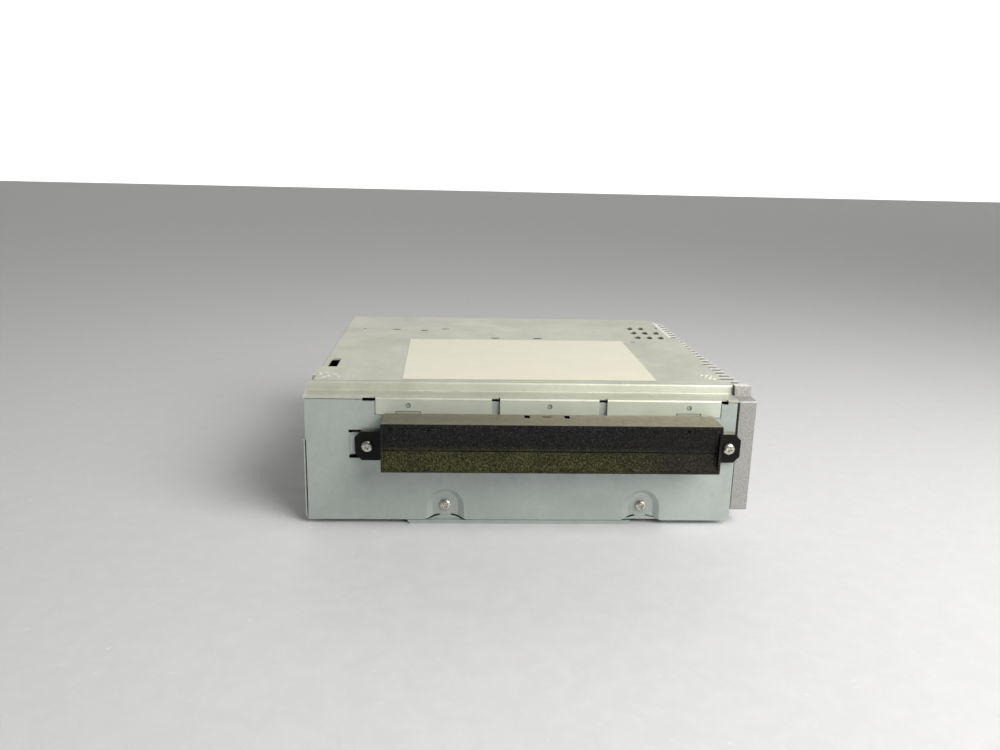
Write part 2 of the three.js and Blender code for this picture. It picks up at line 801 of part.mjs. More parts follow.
// The cover's right edge steps in towards the rear and has three notches.
function coverTrims() {
  const { half, depth, height } = casing;
  const left = -half + cover.leftInset;
  const right = half - cover.rightInset;
  const rearEdge = half - cover.rearInset;
  const deep = [0, height + overrun];
  const notchTo = (edge, y) => block([edge - cover.edgeNotch, half + overrun], y, deep);
  const notchEnds = (share) => [share * depth, share * depth + cover.edgeNotchLength];
  return [
    block([-half - overrun, left], [cover.leftShoulder, depth + overrun], deep),
    block([right, half + overrun], [cover.rightShoulder, depth + overrun], deep),
    block([rearEdge, half + overrun], [depth - cover.stepBack, depth + overrun], deep),
    notchTo(right, [cover.rightShoulder, cover.rightShoulder + cover.edgeNotchLength]),
    notchTo(right, notchEnds(cover.sideNotchShare)),
    notchTo(rearEdge, notchEnds(cover.rearNotchShare)),
  ];
}

// The tabs fold down from the ledge; the outer two are notched for the lugs of the plate.
function coverTabs() {
  const fold = bentSheet(
    [
      [casing.sheet + casing.bend + filmGap, cover.ledgeTop],
      [0, cover.ledgeTop],
      [0, tabFoot],
    ],
    casing.sheet,
    casing.bend,
  );
  return tabs.flatMap(({ x, hook }) => {
    const tab = prism(fold, 'x', ...x);
    return hook ? [cut(tab, [block(hook, [-overrun, overrun], [tabFoot - overrun, hookTop])])] : [tab];
  });
}

function topCover() {
  const { sheet, bend, half, depth, height } = casing;
  const section = bentSheet(
    [
      [depth, height - cover.rearSkirt],
      [depth, height],
      [cover.ledgeDepth + cover.riserRun, height],
      [cover.ledgeDepth, cover.ledgeTop],
      [sheet + bend, cover.ledgeTop],
    ],
    sheet,
    bend,
  );
  const left = -half + cover.leftInset;
  const deep = [cover.low, height + overrun];
  const behind = [cover.leftShoulder, depth + overrun];
  const corner = block([-half - overrun, left + bend + sheet], behind, [0, height + overrun]);
  const flat = cut(prism(section, 'x', -half, half), [...coverTrims(), corner]);
  const skirt = bentSheet(
    [
      [left + 2 * (sheet + bend), height],
      [left, height],
      [left, height - cover.skirt],
    ],
    sheet,
    bend,
  );
  const lips = [
    block([-half, reliefs[0][0]], [0, sheet + bend + filmGap], [cover.ledgeLow, cover.ledgeTop]),
    block([reliefs[3][1], half], [0, sheet + bend + filmGap], [cover.ledgeLow, cover.ledgeTop]),
  ];
  const lugX = left - cover.lugReach;
  const lugY = [cover.lugStart, cover.lugStart + cover.lugLength];
  const sideLug = [
    block([lugX, left + 2 * (sheet + bend)], lugY, [cover.low, height]),
    block([lugX, lugX + sheet], lugY, [height - cover.lugDrop, height]),
  ];
  const ledge = deep.map((z) => z - cover.ledgeDrop);
  const notches = reliefs.map((x) => block(x, [-overrun, cover.notchDepth], ledge));
  const pipHole = (x) => bar('y', cover.pip + gap, -overrun, overrun, [x, pipLevel], pinSteps);
  const holes = tabs.map((tab) => pipHole(tab.pip));
  const slots = locatingShares.map(([xShare, yShare]) => {
    const [x, y] = [xShare * half, yShare * depth];
    const level = deep.map((z) => z - filmGap);
    return block(grown([x, x], locating.width / 2), grown([y, y], locating.length / 2), level);
  });
  const sideX = [left + sideSlot.inset, left + sideSlot.inset + sideSlot.width];
  const sideY = [cover.ledgeDepth + sideSlot.start, cover.ledgeDepth + sideSlot.start + sideSlot.length];
  const through = [cover.low - overrun, height + overrun];
  const leftSkirt = prism(skirt, 'y', cover.leftShoulder, depth - sheet);
  const sheets = joined(flat, leftSkirt, lips, sideLug, coverTabs());
  const topSlots = [...slots, ...ventSlots(through), block(sideX, sideY, through)];
  return cut(sheets, [...notches, ...holes, ...topSlots]);
}

// The paper label on the top, laid on a little askew
const label = { width: 108.6, depth: 78.8, thickness: 0.15, centre: 3.4, front: 14.4, turn: 0.8 };
function topLabel() {
  const [x, y] = [label.width / 2, label.depth / 2];
  const under = casing.height + filmGap;
  return block([-x, x], [-y, y], [under, under + label.thickness]).rotate([0, 0, label.turn]);
}

// The plate at the rear has windows for the connector and the two antenna sockets.
const connector = { width: 50, height: 24, inset: 31, chamberWall: 2, chambers: 3, depth: 8.6 };
connector.pins = { columns: 4, length: 3.6, width: 0.8 };
connector.left = player.x - connector.inset;
connector.x = [connector.left, connector.left + connector.width];
connector.y = [player.y + frame.rearReach + gap, casing.depth - gap];
connector.z = [board.top + gap, board.top + gap + connector.height];
const socket = {
  half: 5.5,
  height: 15,
  pitch: 15,
  bore: 3.5,
  boreDepth: 7,
  contact: 0.5,
  contactReach: 2.6,
};
const sockets = [1, 2].map((place) => connector.left - place * socket.pitch);
socket.y = [connector.y[0], casing.depth - gap];
socket.z = [board.top + gap, board.top + gap + socket.height];
socket.level = (socket.z[0] + socket.z[1]) / 2;

function rearPlate() {
  const x = [tray.left + casing.sheet + gap, tray.right - casing.sheet - gap];
  const z = [tray.floorTop + gap, cover.low - gap];
  const y = [rear.face, tray.rear];
  const bare = block([x[0] + cover.leftInset, x[1]], y, z);
  const through = grown(y, overrun);
  const windows = [
    block(grown(connector.x, gap), through, grown(connector.z, gap)),
    ...sockets.map((at) => block(grown([at, at], socket.half + gap), through, grown(socket.z, gap))),
    ...rearScrewX.map((at) => bar('y', screw.shank + gap, ...through, [at, rear.screwLevel])),
  ];
  return cut(bare, windows);
}

// The heat sink: a front block, a wall along the side, a pad for the amplifier and a row of upright fins
function heatSink() {
  const top = cover.low - gap;
  const wallX = [sink.base, sink.base + sink.wall];
  const wall = block(wallX, [plate.flange + gap, tray.rear], [sink.lift, cover.ledgeLow - gap]);
  const upper = block(wallX, [sink.blockDepth + sink.blockRear, tray.rear], [sink.lift, top]);
  const padX = [sink.base - sink.padReach, sink.base + gap];
  const pad = block(padX, grown(amplifier.y, gap), grown(amplifier.z, gap));
  const holes = sinkScrews.map((at) => bar('x', screw.shank + gap, ...grown(wallX, overrun), at));
  return cut(joined(wall, upper, pad, sinkBlock(), sinkFins(top)), holes);
}

function sinkBlock() {
  const x = [casing.half + gap, casing.half + gap + sink.blockWidth];
  const { bevel, lift, ledge, riser, blockDepth, blockRear } = sink;
  const ledgeTop = cover.ledgeTop - gap / 2;
  const outline = [
    [bevel, lift],
    [blockDepth + blockRear, lift],
    [blockDepth + blockRear, casing.height],
    [ledge + riser, casing.height],
    [ledge, ledgeTop],
    [bevel, ledgeTop],
    [0, ledgeTop - bevel],
    [0, lift + bevel],
  ];
  const neckY = [plate.flange + gap, blockDepth + blockRear];
  const neck = block([sink.base, x[0] + sink.bevel], neckY, [lift, cover.ledgeLow - gap]);
  return joined(prism(outline, 'x', ...x), neck);
}

function sinkFins(top) {
  const root = sink.base + sink.wall - filmGap;
  const fins = [];
  for (let i = 0; i < sink.finCount; i++) {
    const y = sink.finStart + (i + 0.5) * sink.pitch;
    const rest = 1 - i / (sink.finCount - 1);
    const tip = casing.half + sink.rearTip + (sink.frontTip - sink.rearTip) * rest * rest;
    fins.push(
      prism(
        [
          [root, y - sink.finRoot / 2],
          [tip, y - sink.finTip / 2],
          [tip, y + sink.finTip / 2],
          [root, y + sink.finRoot / 2],
        ],
        'z',
        sink.lift,
        top,
      ),
    );
  }
  return fins;
}

// The bezel is a shell with ears, a funnel for the felt lips and a tunnel for the disc, open at the rear.
const discSpan = (half) => [player.x - half, player.x + half];
const lipEdge = (side, wall) => (side > 0 ? bezel.top - wall : bezel.low + wall);
function slotBezel() {
  const { depth, wall, rim, tunnel, tunnelWall, valley, slitHeight, felt, corner } = bezel;
  const slit = bezel.slitLevel;
  const back = -gap;
  const outline = [
    [back, bezel.low],
    [back, bezel.top],
    [corner - depth, bezel.top],
    [-depth, bezel.top - corner],
    [-depth, bezel.low + corner],
    [corner - depth, bezel.low],
  ];
  const body = prism(outline, 'x', ...discSpan(bezel.half));
  const ears = [-1, 1].map(bezelEar);
  const mouth = (side) => {
    const edge = lipEdge(side, rim);
    return prism(
      [
        [-depth - overrun, edge],
        [-depth + felt, edge],
        [-depth + felt + valley, slit + side * (slitHeight / 2 + gap)],
        [-depth + felt + valley, slit],
        [-depth - overrun, slit],
      ],
      'x',
      ...discSpan(bezel.half - rim),
    );
  };
  const passage = block(discSpan(bezel.slotHalf), [-depth, overrun], grown([slit, slit], tunnel / 2));
  const hollow = (side) => {
    const edge = lipEdge(side, wall);
    const shelf = slit + side * (tunnel / 2 + tunnelWall);
    return prism(
      [
        [overrun, shelf],
        [overrun, edge],
        [wall + felt - depth, edge],
        [wall + felt + valley - depth, shelf],
      ],
      'x',
      ...discSpan(bezel.half - wall),
    );
  };
  const through = [bezel.top - wall - overrun, bezel.top + overrun];
  const middle = player.x + bezel.eyeShift;
  const opening = (x, halfWidth, length) =>
    block(grown([x, x], halfWidth), grown([-bezel.eyeInset, -bezel.eyeInset], length / 2), through);
  const eyes = [-1, 1].map((side) => opening(middle + side * bezel.eyePitch, bezel.eye, bezel.eyeLength));
  const mark = opening(middle, bezel.mark, bezel.markLength);
  return cut(joined(body, ears), [mouth(1), mouth(-1), passage, hollow(1), hollow(-1), ...eyes, mark]);
}

function bezelEar(side) {
  const x = (reach) => bezel.earMiddle + side * reach;
  const { earSpan, earLevel, earHeight, earCorner, half } = bezel;
  const [low, high] = [earLevel - earHeight / 2, earLevel + earHeight / 2];
  const outline = [
    [x(half - bezel.wall), low],
    [x(earSpan - earCorner), low],
    [x(earSpan), low + earCorner],
    [x(earSpan), high - earCorner],
    [x(earSpan - earCorner), high],
    [x(half - bezel.wall), high],
  ];
  const ear = prism(outline, 'y', -gap - bezel.earThickness, -gap);
  const screwAt = [bezel.screwX[side < 0 ? 0 : 1], earLevel];
  return cut(ear, [bar('y', screw.shank + gap, -2 * bezel.earThickness, 0, screwAt)]);
}

// A felt lip lies on the funnel's slope, and its face runs in to the slit.
function feltLip(side) {
  const { depth, valley, slitHeight, felt, slitLevel: slit } = bezel;
  const edge = lipEdge(side, bezel.rim) - side * filmGap;
  const inner = slit + side * (slitHeight / 2);
  return prism(
    [
      [-depth + filmGap, edge],
      [-depth + felt - filmGap, edge],
      [-depth + felt + valley - 2 * filmGap, inner + side * gap],
      [-depth + felt + valley - 2 * filmGap, inner],
      [-depth + valley, inner],
    ],
    'x',
    ...discSpan(bezel.half - bezel.rim - filmGap),
  );
}

// Electronics

function mainBoard() {
  const body = block(board.x, board.y, [board.level, board.top]);
  const through = [board.level - overrun, board.top + overrun];
  const holes = framePosts.map((at) => bar('z', post.radius + 2 * gap, ...through, at));
  return cut(body, holes);
}

// Three chambers open to the rear, each with a row of pins on its back wall
function mainConnector() {
  const { x, y, z, chamberWall, chambers, depth, pins: pin } = connector;
  const width = (connector.width - (chambers + 1) * chamberWall) / chambers;
  const [low, high] = [z[0] + chamberWall, z[1] - chamberWall];
  const rooms = [];
  const pins = [];
  for (let i = 0; i < chambers; i++) {
    const left = x[0] + chamberWall + i * (width + chamberWall);
    rooms.push(block([left, left + width], [y[1] - depth, y[1] + overrun], [low, high]));
    const length = [y[1] - depth - chamberWall / 2, y[1] - depth + pin.length];
    for (let k = 1; k <= pin.columns; k++) {
      const across = left + (k * width) / (pin.columns + 1);
      [-1, 1].forEach((row) => {
        const level = (low + high) / 2 + (row * width) / 4;
        const [x, z] = [across, level].map((at) => grown([at, at], pin.width / 2));
        pins.push(block(x, length, z));
      });
    }
  }
  return joined(cut(block(x, y, z), rooms), pins);
}

// An antenna socket: a square body with a round bore and a contact pin
function antennaSocket() {
  const [front, end] = socket.y;
  const floor = end - socket.boreDepth;
  const body = block([-socket.half, socket.half], [front, end], socket.z);
  const bore = bar('y', socket.bore, floor, end + overrun, [0, socket.level]);
  const contactY = [floor - filmGap, floor + socket.contactReach];
  const contact = bar('y', socket.contact, ...contactY, [0, socket.level], pinSteps);
  return joined(cut(body, [bore]), contact);
}

function powerAmplifier() {
  const { x, y, z, leads, lead, length } = amplifier;
  const body = block(x, y, z);
  const pitch = length / (leads + 1);
  const legs = [];
  for (let i = 1; i <= leads; i++) {
    const at = y[0] + i * pitch;
    const foot = x[0] + lead + (i % 2) * 2 * lead;
    legs.push(block([foot, foot + lead], grown([at, at], lead / 2), [board.top + gap, z[0] + filmGap]));
  }
  return joined(body, legs);
}

// The clip bends over the amplifier and presses it against the heat sink's pad.
function amplifierClip() {
  const { x, y, z } = amplifier;
  const wall = tray.right - casing.sheet - gap;
  const thickness = amplifier.clip;
  const rise = z[1] + gap + thickness;
  const path = [
    [wall, rise + 3 * overrun],
    [wall, rise],
    [x[0] - gap - thickness, rise],
    [x[0] - gap - thickness, z[0] + amplifier.lift],
  ];
  const width = grown(y, -amplifier.length / 4);
  return prism(bentSheet(path.reverse(), thickness, thickness / 2), 'y', ...width);
}

// The tuner's screening can, with a pressed-on lid and slits along one side
const can = {
  edge: 2,
  startShare: 0.625,
  bayRoom: 9,
  length: 38,
  height: 13.5,
  lip: 1.4,
  sheet: 0.5,
  slit: 4,
  slits: 3,
};
can.start = can.startShare * casing.depth;
can.width = bay.left - can.bayRoom;
can.x = [board.x[0] + can.edge, board.x[0] + can.edge + can.width];
can.y = [can.start, can.start + can.length];
function tunerCan() {
  const [low, high] = [board.top + gap, board.top + gap + can.height];
  const body = block(can.x, can.y, [low, high]);
  const outline = rectangle(grown(can.x, can.sheet), grown(can.y, can.sheet), can.lip);
  const lid = prism(outline, 'z', high - can.lip, high + can.sheet);
  const slits = [];
  for (let i = 1; i <= can.slits; i++) {
    const y = can.y[0] + (i * can.length) / (can.slits + 1);
    const depth = [can.x[1] - can.lip, can.x[1] + overrun];
    slits.push(block(depth, grown([y, y], can.slit / 2), [low + can.lip, high - 2 * can.lip]));
  }
  return cut(joined(body, lid), slits);
}

const capacitor = {
  radius: 5,
  height: 15,
  groove: 0.5,
  grooveLevel: 2.4,
  corner: 0.7,
  pitch: 12,
  count: 3,
  start: 30,
};
capacitor.x = board.x[0] + capacitor.radius + 2 * post.radius;
function filterCapacitor() {
  const { radius, height, groove, grooveLevel, corner } = capacitor;
  const profile = [
    [0, 0],
    [radius - corner, 0],
    [radius, corner],
    [radius, grooveLevel - groove],
    [radius - groove, grooveLevel],
    [radius, grooveLevel + groove],
    [radius, height - corner],
    [radius - corner, height],
    [0, height],
  ];
  return turned(profile, canSteps);
}

// A ring core on its flat side, with its winding
const choke = { radius: 8.5, core: 3, cornerShare: 0.98, canRoom: 5.375, facets: 2 };
function chokeCoil() {
  const { radius, core } = choke;
  const corner = core * choke.cornerShare;
  const ring = roundedPoints([radius - 2 * core, radius], [0, 2 * core], corner, choke.facets);
  return turned([...ring, ring[0]], canSteps);
}

const processor = { half: 11, height: 1.5, beforeSpindle: 16 };
function signalProcessor() {
  return block([-processor.half, processor.half], [-processor.half, processor.half], [0, processor.height]);
}

// A flat film cable from the board up the rear of the player and in over its floor
const ribbon = { thickness: 0.35, width: 16, besideConnector: 6, footReach: 5, run: 9, rise: 2.2 };
ribbon.left = connector.x[1] + ribbon.besideConnector;
ribbon.x = [ribbon.left, ribbon.left + ribbon.width];
function ribbonCable() {
  const rearY = player.y + frame.rearReach + 4 * gap;
  const low = board.top + gap;
  const high = player.z + frame.floorTop + ribbon.rise;
  const path = [
    [rearY + ribbon.footReach, low],
    [rearY, low],
    [rearY, high],
    [rearY - ribbon.run, high],
  ];
  return prism(bentSheet(path.reverse(), ribbon.thickness, ribbon.thickness), 'x', ...ribbon.x);
}

// The disc player. What follows is in the player's own frame.

const roller = { radius: 3.6, waist: 3.1, endRoom: 4.3, shaft: 1.5, shaftRoom: 0.5, frontInset: 8 };
roller.y = -frame.frontReach + roller.frontInset;
roller.z = -roller.radius;

const carrier = {
  sheet: 0.8,
  sideRoom: 3.4,
  arm: 14,
  pivotDrop: 8,
  pivot: 1.5,
  eye: 3.2,
  cheekShare: 0.75,
};
carrier.side = frame.wallIn - carrier.sideRoom;
carrier.y = roller.y + carrier.arm;
carrier.z = -carrier.pivotDrop;
roller.half = carrier.side - roller.endRoom;
carrier.camPin = { behind: 7, radius: 1.2, rise: 1.2, travel: 6 };

const gears = {
  module: 0.7,
  width: 2.2,
  slack: 0.3,
  rollerTeeth: 14,
  idlerTeeth: 16,
  pinionTeeth: 8,
  spread: 0.1,
};
const toothShares = { root: 1.25, rootHalf: 1.16, tip: 1, tipHalf: 0.4 };
gears.x = [-frame.half - gap - gears.width - filmGap, -frame.half - gap - filmGap];
const meshDistance = (a, b) => (gears.module * (a + b)) / 2 + gears.spread;

// The roller drops away from the idler, so the idler lies on the line along which the roller moves.
const dropLine = Math.atan2(carrier.arm, roller.z - carrier.z);
const idlerReach = meshDistance(gears.rollerTeeth, gears.idlerTeeth);
const idler = {
  pin: 1.2,
  y: roller.y + idlerReach * Math.cos(dropLine),
  z: roller.z + idlerReach * Math.sin(dropLine),
};
const pinionLine = -Math.PI / 9;
const pinionReach = meshDistance(gears.idlerTeeth, gears.pinionTeeth);
const motor = {
  radius: 8,
  length: 18,
  shaft: 0.8,
  flat: 6.4,
  plateGap: 0.4,
  y: idler.y + pinionReach * Math.cos(pinionLine),
  z: idler.z + pinionReach * Math.sin(pinionLine),
};
const gearPlate = { sheet: 0.9, reach: 8.5, leg: 2 };
gearPlate.x = [gears.x[0] - gap - gearPlate.sheet, gears.x[0] - gap];

const deck = {
  top: -3.8,
  sheet: 0.8,
  sideRoom: 5.2,
  rightRoom: 1.2,
  frontRoom: 6,
  rearRoom: 6,
  sledHalf: 11,
};
deck.low = deck.top - deck.sheet;
deck.half = frame.wallIn - deck.sideRoom;
deck.right = frame.wallIn - deck.rightRoom;
deck.front = carrier.y + deck.frontRoom;
deck.rear = frame.rearReach - deck.rearRoom;
const rod = { radius: 1.5, y: 20, lugStart: 9, lug: 4, endLug: 2.6, lugRoom: 2.2 };
rod.lugX = [rod.lugStart, rod.lugStart + rod.lug];
rod.endX = [deck.right - rod.endLug, deck.right];
const screwDrive = { radius: 1.4, pitch: 7, motor: 4.2, motorLength: 20 };
screwDrive.y = rod.y + screwDrive.pitch;
rod.z = deck.low - screwDrive.motor;
const spindle = { motor: 11, floorRoom: 1.2, corner: 1.3, shaft: 1, shaftTop: -0.9, boss: 3 };
const platter = { radius: 15, low: -2.1, top: -0.3, hub: 7.2, hubTop: 1.9, neck: 3.4 };
platter.bossLow = deck.top + gap;
const sled = {
  lens: 24.5,
  endRoom: 0.4,
  front: 4,
  rear: 8,
  floorRoom: 2.4,
  turret: 4,
  turretTop: -2.6,
  forkWall: 3.2,
};
sled.low = frame.floorTop + sled.floorRoom;
sled.high = deck.low - gap;
sled.half = rod.y + sled.forkWall;
sled.travel = rod.endX[0] - sled.endRoom - sled.front - sled.lens;
sled.opening = [sled.lens - sled.turret - 3 * gap, sled.lens + sled.travel + sled.turret + gap / 2];
const lens = { radius: 2.4, height: 0.7 };
const damper = { radius: 4, waist: 3, sideInset: 8, endInset: 7, pin: 1.3 };
const damperPlaces = [-1, 1].flatMap((side) => [
  [side * (deck.half - damper.sideInset), deck.front + damper.endInset],
  [side * (deck.half - damper.sideInset), deck.rear - damper.endInset],
]);
const arm = {
  rearInset: 10,
  sideInset: 16,
  z: 3.9,
  sheet: 0.8,
  plateZ: 6,
  pin: 1.1,
  lugReach: 13,
  lugWidth: 3,
};
arm.y = deck.rear - arm.rearInset;
arm.side = deck.half - arm.sideInset;
arm.cross = { half: 4.2, tongue: 15, tip: 9, tipReach: 9 };
arm.lug = { near: arm.y - arm.lugReach - arm.lugWidth, far: arm.y - arm.lugReach };
const clamp = {
  pad: 13,
  padLow: 1.5,
  padTop: 3.3,
  neck: 4,
  hole: 5.4,
  cap: 8,
  capRoom: 0.6,
  capSheet: 1,
};
clamp.capLow = arm.plateZ + arm.sheet + clamp.capRoom;
const roof = { sheet: 0.8, sideRoom: 5, frontRoom: 9, rearRoom: 5 };
roof.z = frame.heightAbove + gap;
roof.open = {
  x: [-arm.cross.tongue - roof.sideRoom, arm.cross.tongue + roof.sideRoom],
  y: [-clamp.pad - roof.frontRoom, arm.y - roof.rearRoom],
};
const lever = {
  x: 14,
  frontInset: 36,
  roofRoom: 3.3,
  sheet: 0.8,
  stud: 1.5,
  head: 2.5,
  headHeight: 0.8,
  half: 2.6,
};
lever.y = -frame.frontReach + lever.frontInset;
lever.low = roof.z - lever.roofRoom;
lever.headLow = lever.low - gap - lever.headHeight;
lever.feeler = { tipInset: 10, drop: 12, pin: 1.2, low: -1 };
lever.reach = disc.radius - lever.feeler.tipInset - lever.x;
lever.link = { pin: 1, half: 1.35, slotHalf: 2.2 };

const slider = { sheet: 1, gap: 0.4, stud: 1.3, head: 2.2, low: -13, high: -4, travel: 6 };
slider.ends = { frontReach: 3, frontStud: 27, rearStud: 30 };
slider.front = carrier.y - slider.ends.frontReach;
slider.rear = arm.y;
slider.x = [-frame.half - slider.gap - slider.sheet, -frame.half - slider.gap];
slider.studs = [slider.front + slider.ends.frontStud, slider.rear - slider.ends.rearStud];
slider.studLevel = (slider.low + slider.high) / 2;

function playerFrame() {
  const { sheet, half, wallIn, floorLow, floorTop, frontReach, rearReach, heightAbove } = frame;
  const y = [-frontReach, rearReach];
  const section = bentSheet(
    [
      [-half, heightAbove],
      [-half, floorLow],
      [half, floorLow],
      [half, heightAbove],
    ],
    sheet,
    casing.bend,
  );
  const channel = prism(section, 'y', ...y);
  const front = block([-wallIn, wallIn], [y[0], y[0] + sheet], [floorLow, floorTop + carrier.eye / 2]);
  const windowX = deck.half - 2 * damper.sideInset;
  const windowY = [deck.front, deck.rear - damper.sideInset];
  const window = block([-windowX, windowX], windowY, [floorLow - overrun, floorTop + overrun]);
  const left = [-half - overrun, -wallIn + gap];
  const pivots = bar('x', carrier.pivot + gap, -half - overrun, half + overrun, [carrier.y, carrier.z]);
  const shaftSlot = block(
    left,
    [roller.y - 2 * roller.shaft - gap, roller.y + roller.shaft + gap],
    [roller.z - roller.shaft - 2 * slider.stud, roller.z + roller.shaft + gap],
  );
  const camY = carrier.y + carrier.camPin.behind;
  const camSlot = block(left, grown([camY, camY], 2 * carrier.camPin.radius), [
    carrier.z - 2 * carrier.camPin.radius,
    carrier.z + carrier.camPin.rise + 2 * carrier.camPin.radius,
  ]);
  const lugSlot = block(
    left,
    grown([arm.lug.near, arm.lug.far], 2 * gap + sheet),
    [arm.plateZ - 2 * gap, heightAbove + overrun],
  );
  const studs = slider.studs.flatMap((at) => [
    bar('x', slider.stud, slider.x[0] - gap, -wallIn, [at, slider.studLevel]),
    bar('x', slider.head, slider.x[0] - gap - sheet, slider.x[0] - gap, [at, slider.studLevel]),
  ]);
  const idlerPin = bar('x', idler.pin, gears.x[0] + filmGap, -wallIn, [idler.y, idler.z]);
  const idlerY = grown([idler.y, idler.y], 2 * idler.pin);
  const idlerBack = block([-half, -wallIn], idlerY, [floorTop, heightAbove]);
  const body = joined(channel, front, idlerBack);
  return joined(cut(body, [window, pivots, shaftSlot, camSlot, lugSlot]), studs, idlerPin);
}

// The roof closes the player's frame and carries the studs of the two detection levers.
function playerTop() {
  const plateOutline = rectangle([-frame.half, frame.half], [-frame.frontReach, frame.rearReach]);
  const opening = rectangle(roof.open.x, roof.open.y, casing.sheet);
  const body = prism(plateOutline, 'z', roof.z, roof.z + roof.sheet);
  const room = prism(opening, 'z', roof.z - overrun, roof.z + 2 * overrun);
  const studs = [-1, 1].flatMap((side) => [
    bar('z', lever.stud, lever.headLow, roof.z + filmGap, [side * lever.x, lever.y]),
    bar('z', lever.head, lever.headLow, lever.low - gap, [side * lever.x, lever.y]),
  ]);
  return joined(cut(body, [room]), studs);
}

// The guide over the roller touches a disc only at its edges, so its underside is hollowed.
const guide = { sideRoom: 1.2, rear: 15, edge: 1.9, crown: 3.4, roofRoom: 0.5, steps: 8 };
guide.half = frame.wallIn - guide.sideRoom;
guide.top = roof.z - guide.roofRoom;
function discGuide() {
  const under = [];
  for (let i = 0; i <= guide.steps; i++) {
    const t = (2 * i) / guide.steps - 1;
    under.push([t * guide.half, guide.crown - (guide.crown - guide.edge) * t * t]);
  }
  const y = [-frame.frontReach + gap, -frame.frontReach + guide.rear];
  return prism([...under, [guide.half, guide.top], [-guide.half, guide.top]], 'y', ...y);
}

function rollerCarrier() {
  const { sheet, side, eye, pivot, camPin, cheekShare } = carrier;
  const arms = [-1, 1].map((s) => {
    const x = sorted(s * side, s * (side + sheet));
    const outline = [
      [roller.y - eye, roller.z - eye / 2],
      [roller.y - eye / 2, roller.z + eye * cheekShare],
      [roller.y + eye, roller.z + eye / 2],
      [carrier.y + camPin.behind + eye / 2, carrier.z + eye * cheekShare],
      [carrier.y + camPin.behind + eye / 2, carrier.z - eye * cheekShare],
      [roller.y, carrier.z - eye / 2],
    ];
    const cheek = prism(outline, 'x', ...x);
    const bore = bar('x', roller.shaft + gap, x[0] - overrun, x[1] + overrun, [roller.y, roller.z]);
    const pinX = sorted(s * side, s * (frame.half - gap / 2));
    const pivotPin = bar('x', pivot, ...pinX, [carrier.y, carrier.z]);
    return joined(cut(cheek, [bore]), pivotPin);
  });
  const webZ = [roller.z - roller.radius - 2 * sheet, roller.z - roller.radius - sheet];
  const web = block([-side - filmGap, side + filmGap], [roller.y - roller.shaft, carrier.y + pivot], webZ);
  const pin = bar('x', camPin.radius, slider.x[0], -side, [carrier.y + camPin.behind, carrier.z]);
  return joined(arms, web, pin);
}

// The rubber is a little thinner in the middle, so that only its ends press on the disc.
function rubberRoller() {
  const { radius, waist, half, shaft } = roller;
  const inner = shaft + gap;
  const profile = [
    [inner, -half],
    [radius, -half],
    [waist, 0],
    [radius, half],
    [inner, half],
    [inner, -half],
  ];
  return turned(profile, canSteps);
}

function rollerShaft() {
  return bar('x', roller.shaft, gears.x[0], frame.wallIn - roller.shaftRoom, [0, 0]);
}

// A spur gear along X. The phase turns a tooth to an angle from +Y towards +Z.
function gear(teeth, bore, phase) {
  const { module, slack } = gears;
  const pitchRadius = (module * teeth) / 2;
  const level = (radius, share) => ({ radius, half: (share * module - slack / 4) / radius });
  const root = level(pitchRadius - toothShares.root * module, toothShares.rootHalf);
  const tip = level(pitchRadius + toothShares.tip * module, toothShares.tipHalf);
  const outline = [];
  for (let i = 0; i < teeth; i++) {
    const angle = phase + (2 * Math.PI * i) / teeth;
    const corners = [
      [root.radius, -root.half],
      [tip.radius, -tip.half],
      [tip.radius, tip.half],
      [root.radius, root.half],
    ];
    corners.forEach(([r, a]) => outline.push([r * Math.cos(angle + a), r * Math.sin(angle + a)]));
  }
  const hole = bar('x', bore, gears.x[0] - overrun, gears.x[1] + overrun, [0, 0]);
  return cut(prism(outline, 'x', ...gears.x), [hole]);
}

// The phase that lets the next gear mesh with one of a known phase, in a given direction from it
function meshedPhase(phase, teeth, direction, nextTeeth) {
  const offset = ((direction - phase) * teeth) / (2 * Math.PI);
  return direction + Math.PI + ((offset - 0.5) * 2 * Math.PI) / nextTeeth;
}
const rollerPhase = dropLine;
const idlerPhase = meshedPhase(rollerPhase, gears.rollerTeeth, dropLine, gears.idlerTeeth);
const pinionPhase = meshedPhase(idlerPhase, gears.idlerTeeth, pinionLine, gears.pinionTeeth);

function gearPlateSheet() {
  const [outer, inner] = gearPlate.x;
  const y = grown([motor.y, motor.y], gearPlate.reach);
  const z = [motor.z - gearPlate.reach, motor.z + gearPlate.reach / 2];
  const sheetSolid = block([outer, inner], y, z);
  const hole = bar('x', 2 * motor.shaft + gap, outer - overrun, inner + overrun, [motor.y, motor.z]);
  const legX = [outer, -frame.half - gap / 2];
  const legLow = slider.high + gap;
  const legs = [
    block(legX, [y[1] - gearPlate.leg, y[1]], [legLow, legLow + 2 * gearPlate.leg]),
    block(legX, [y[1] - gearPlate.leg, y[1]], [z[1] - gearPlate.leg, z[1]]),
  ];
  return joined(cut(sheetSolid, [hole]), legs);
}

function loadingMotor() {
  const face = gearPlate.x[0] - motor.plateGap;
  const barrel = bar('x', motor.radius, face - motor.length, face, [motor.y, motor.z], canSteps);
  const length = [face - motor.length - overrun, face + overrun];
  const flatY = grown([motor.y, motor.y], 2 * motor.radius);
  const flats = block(length, flatY, grown([motor.z, motor.z], motor.flat));
  const shaft = bar('x', motor.shaft, face - gap, gears.x[1], [motor.y, motor.z], pinSteps);
  return joined(barrel.intersect(flats), shaft);
}

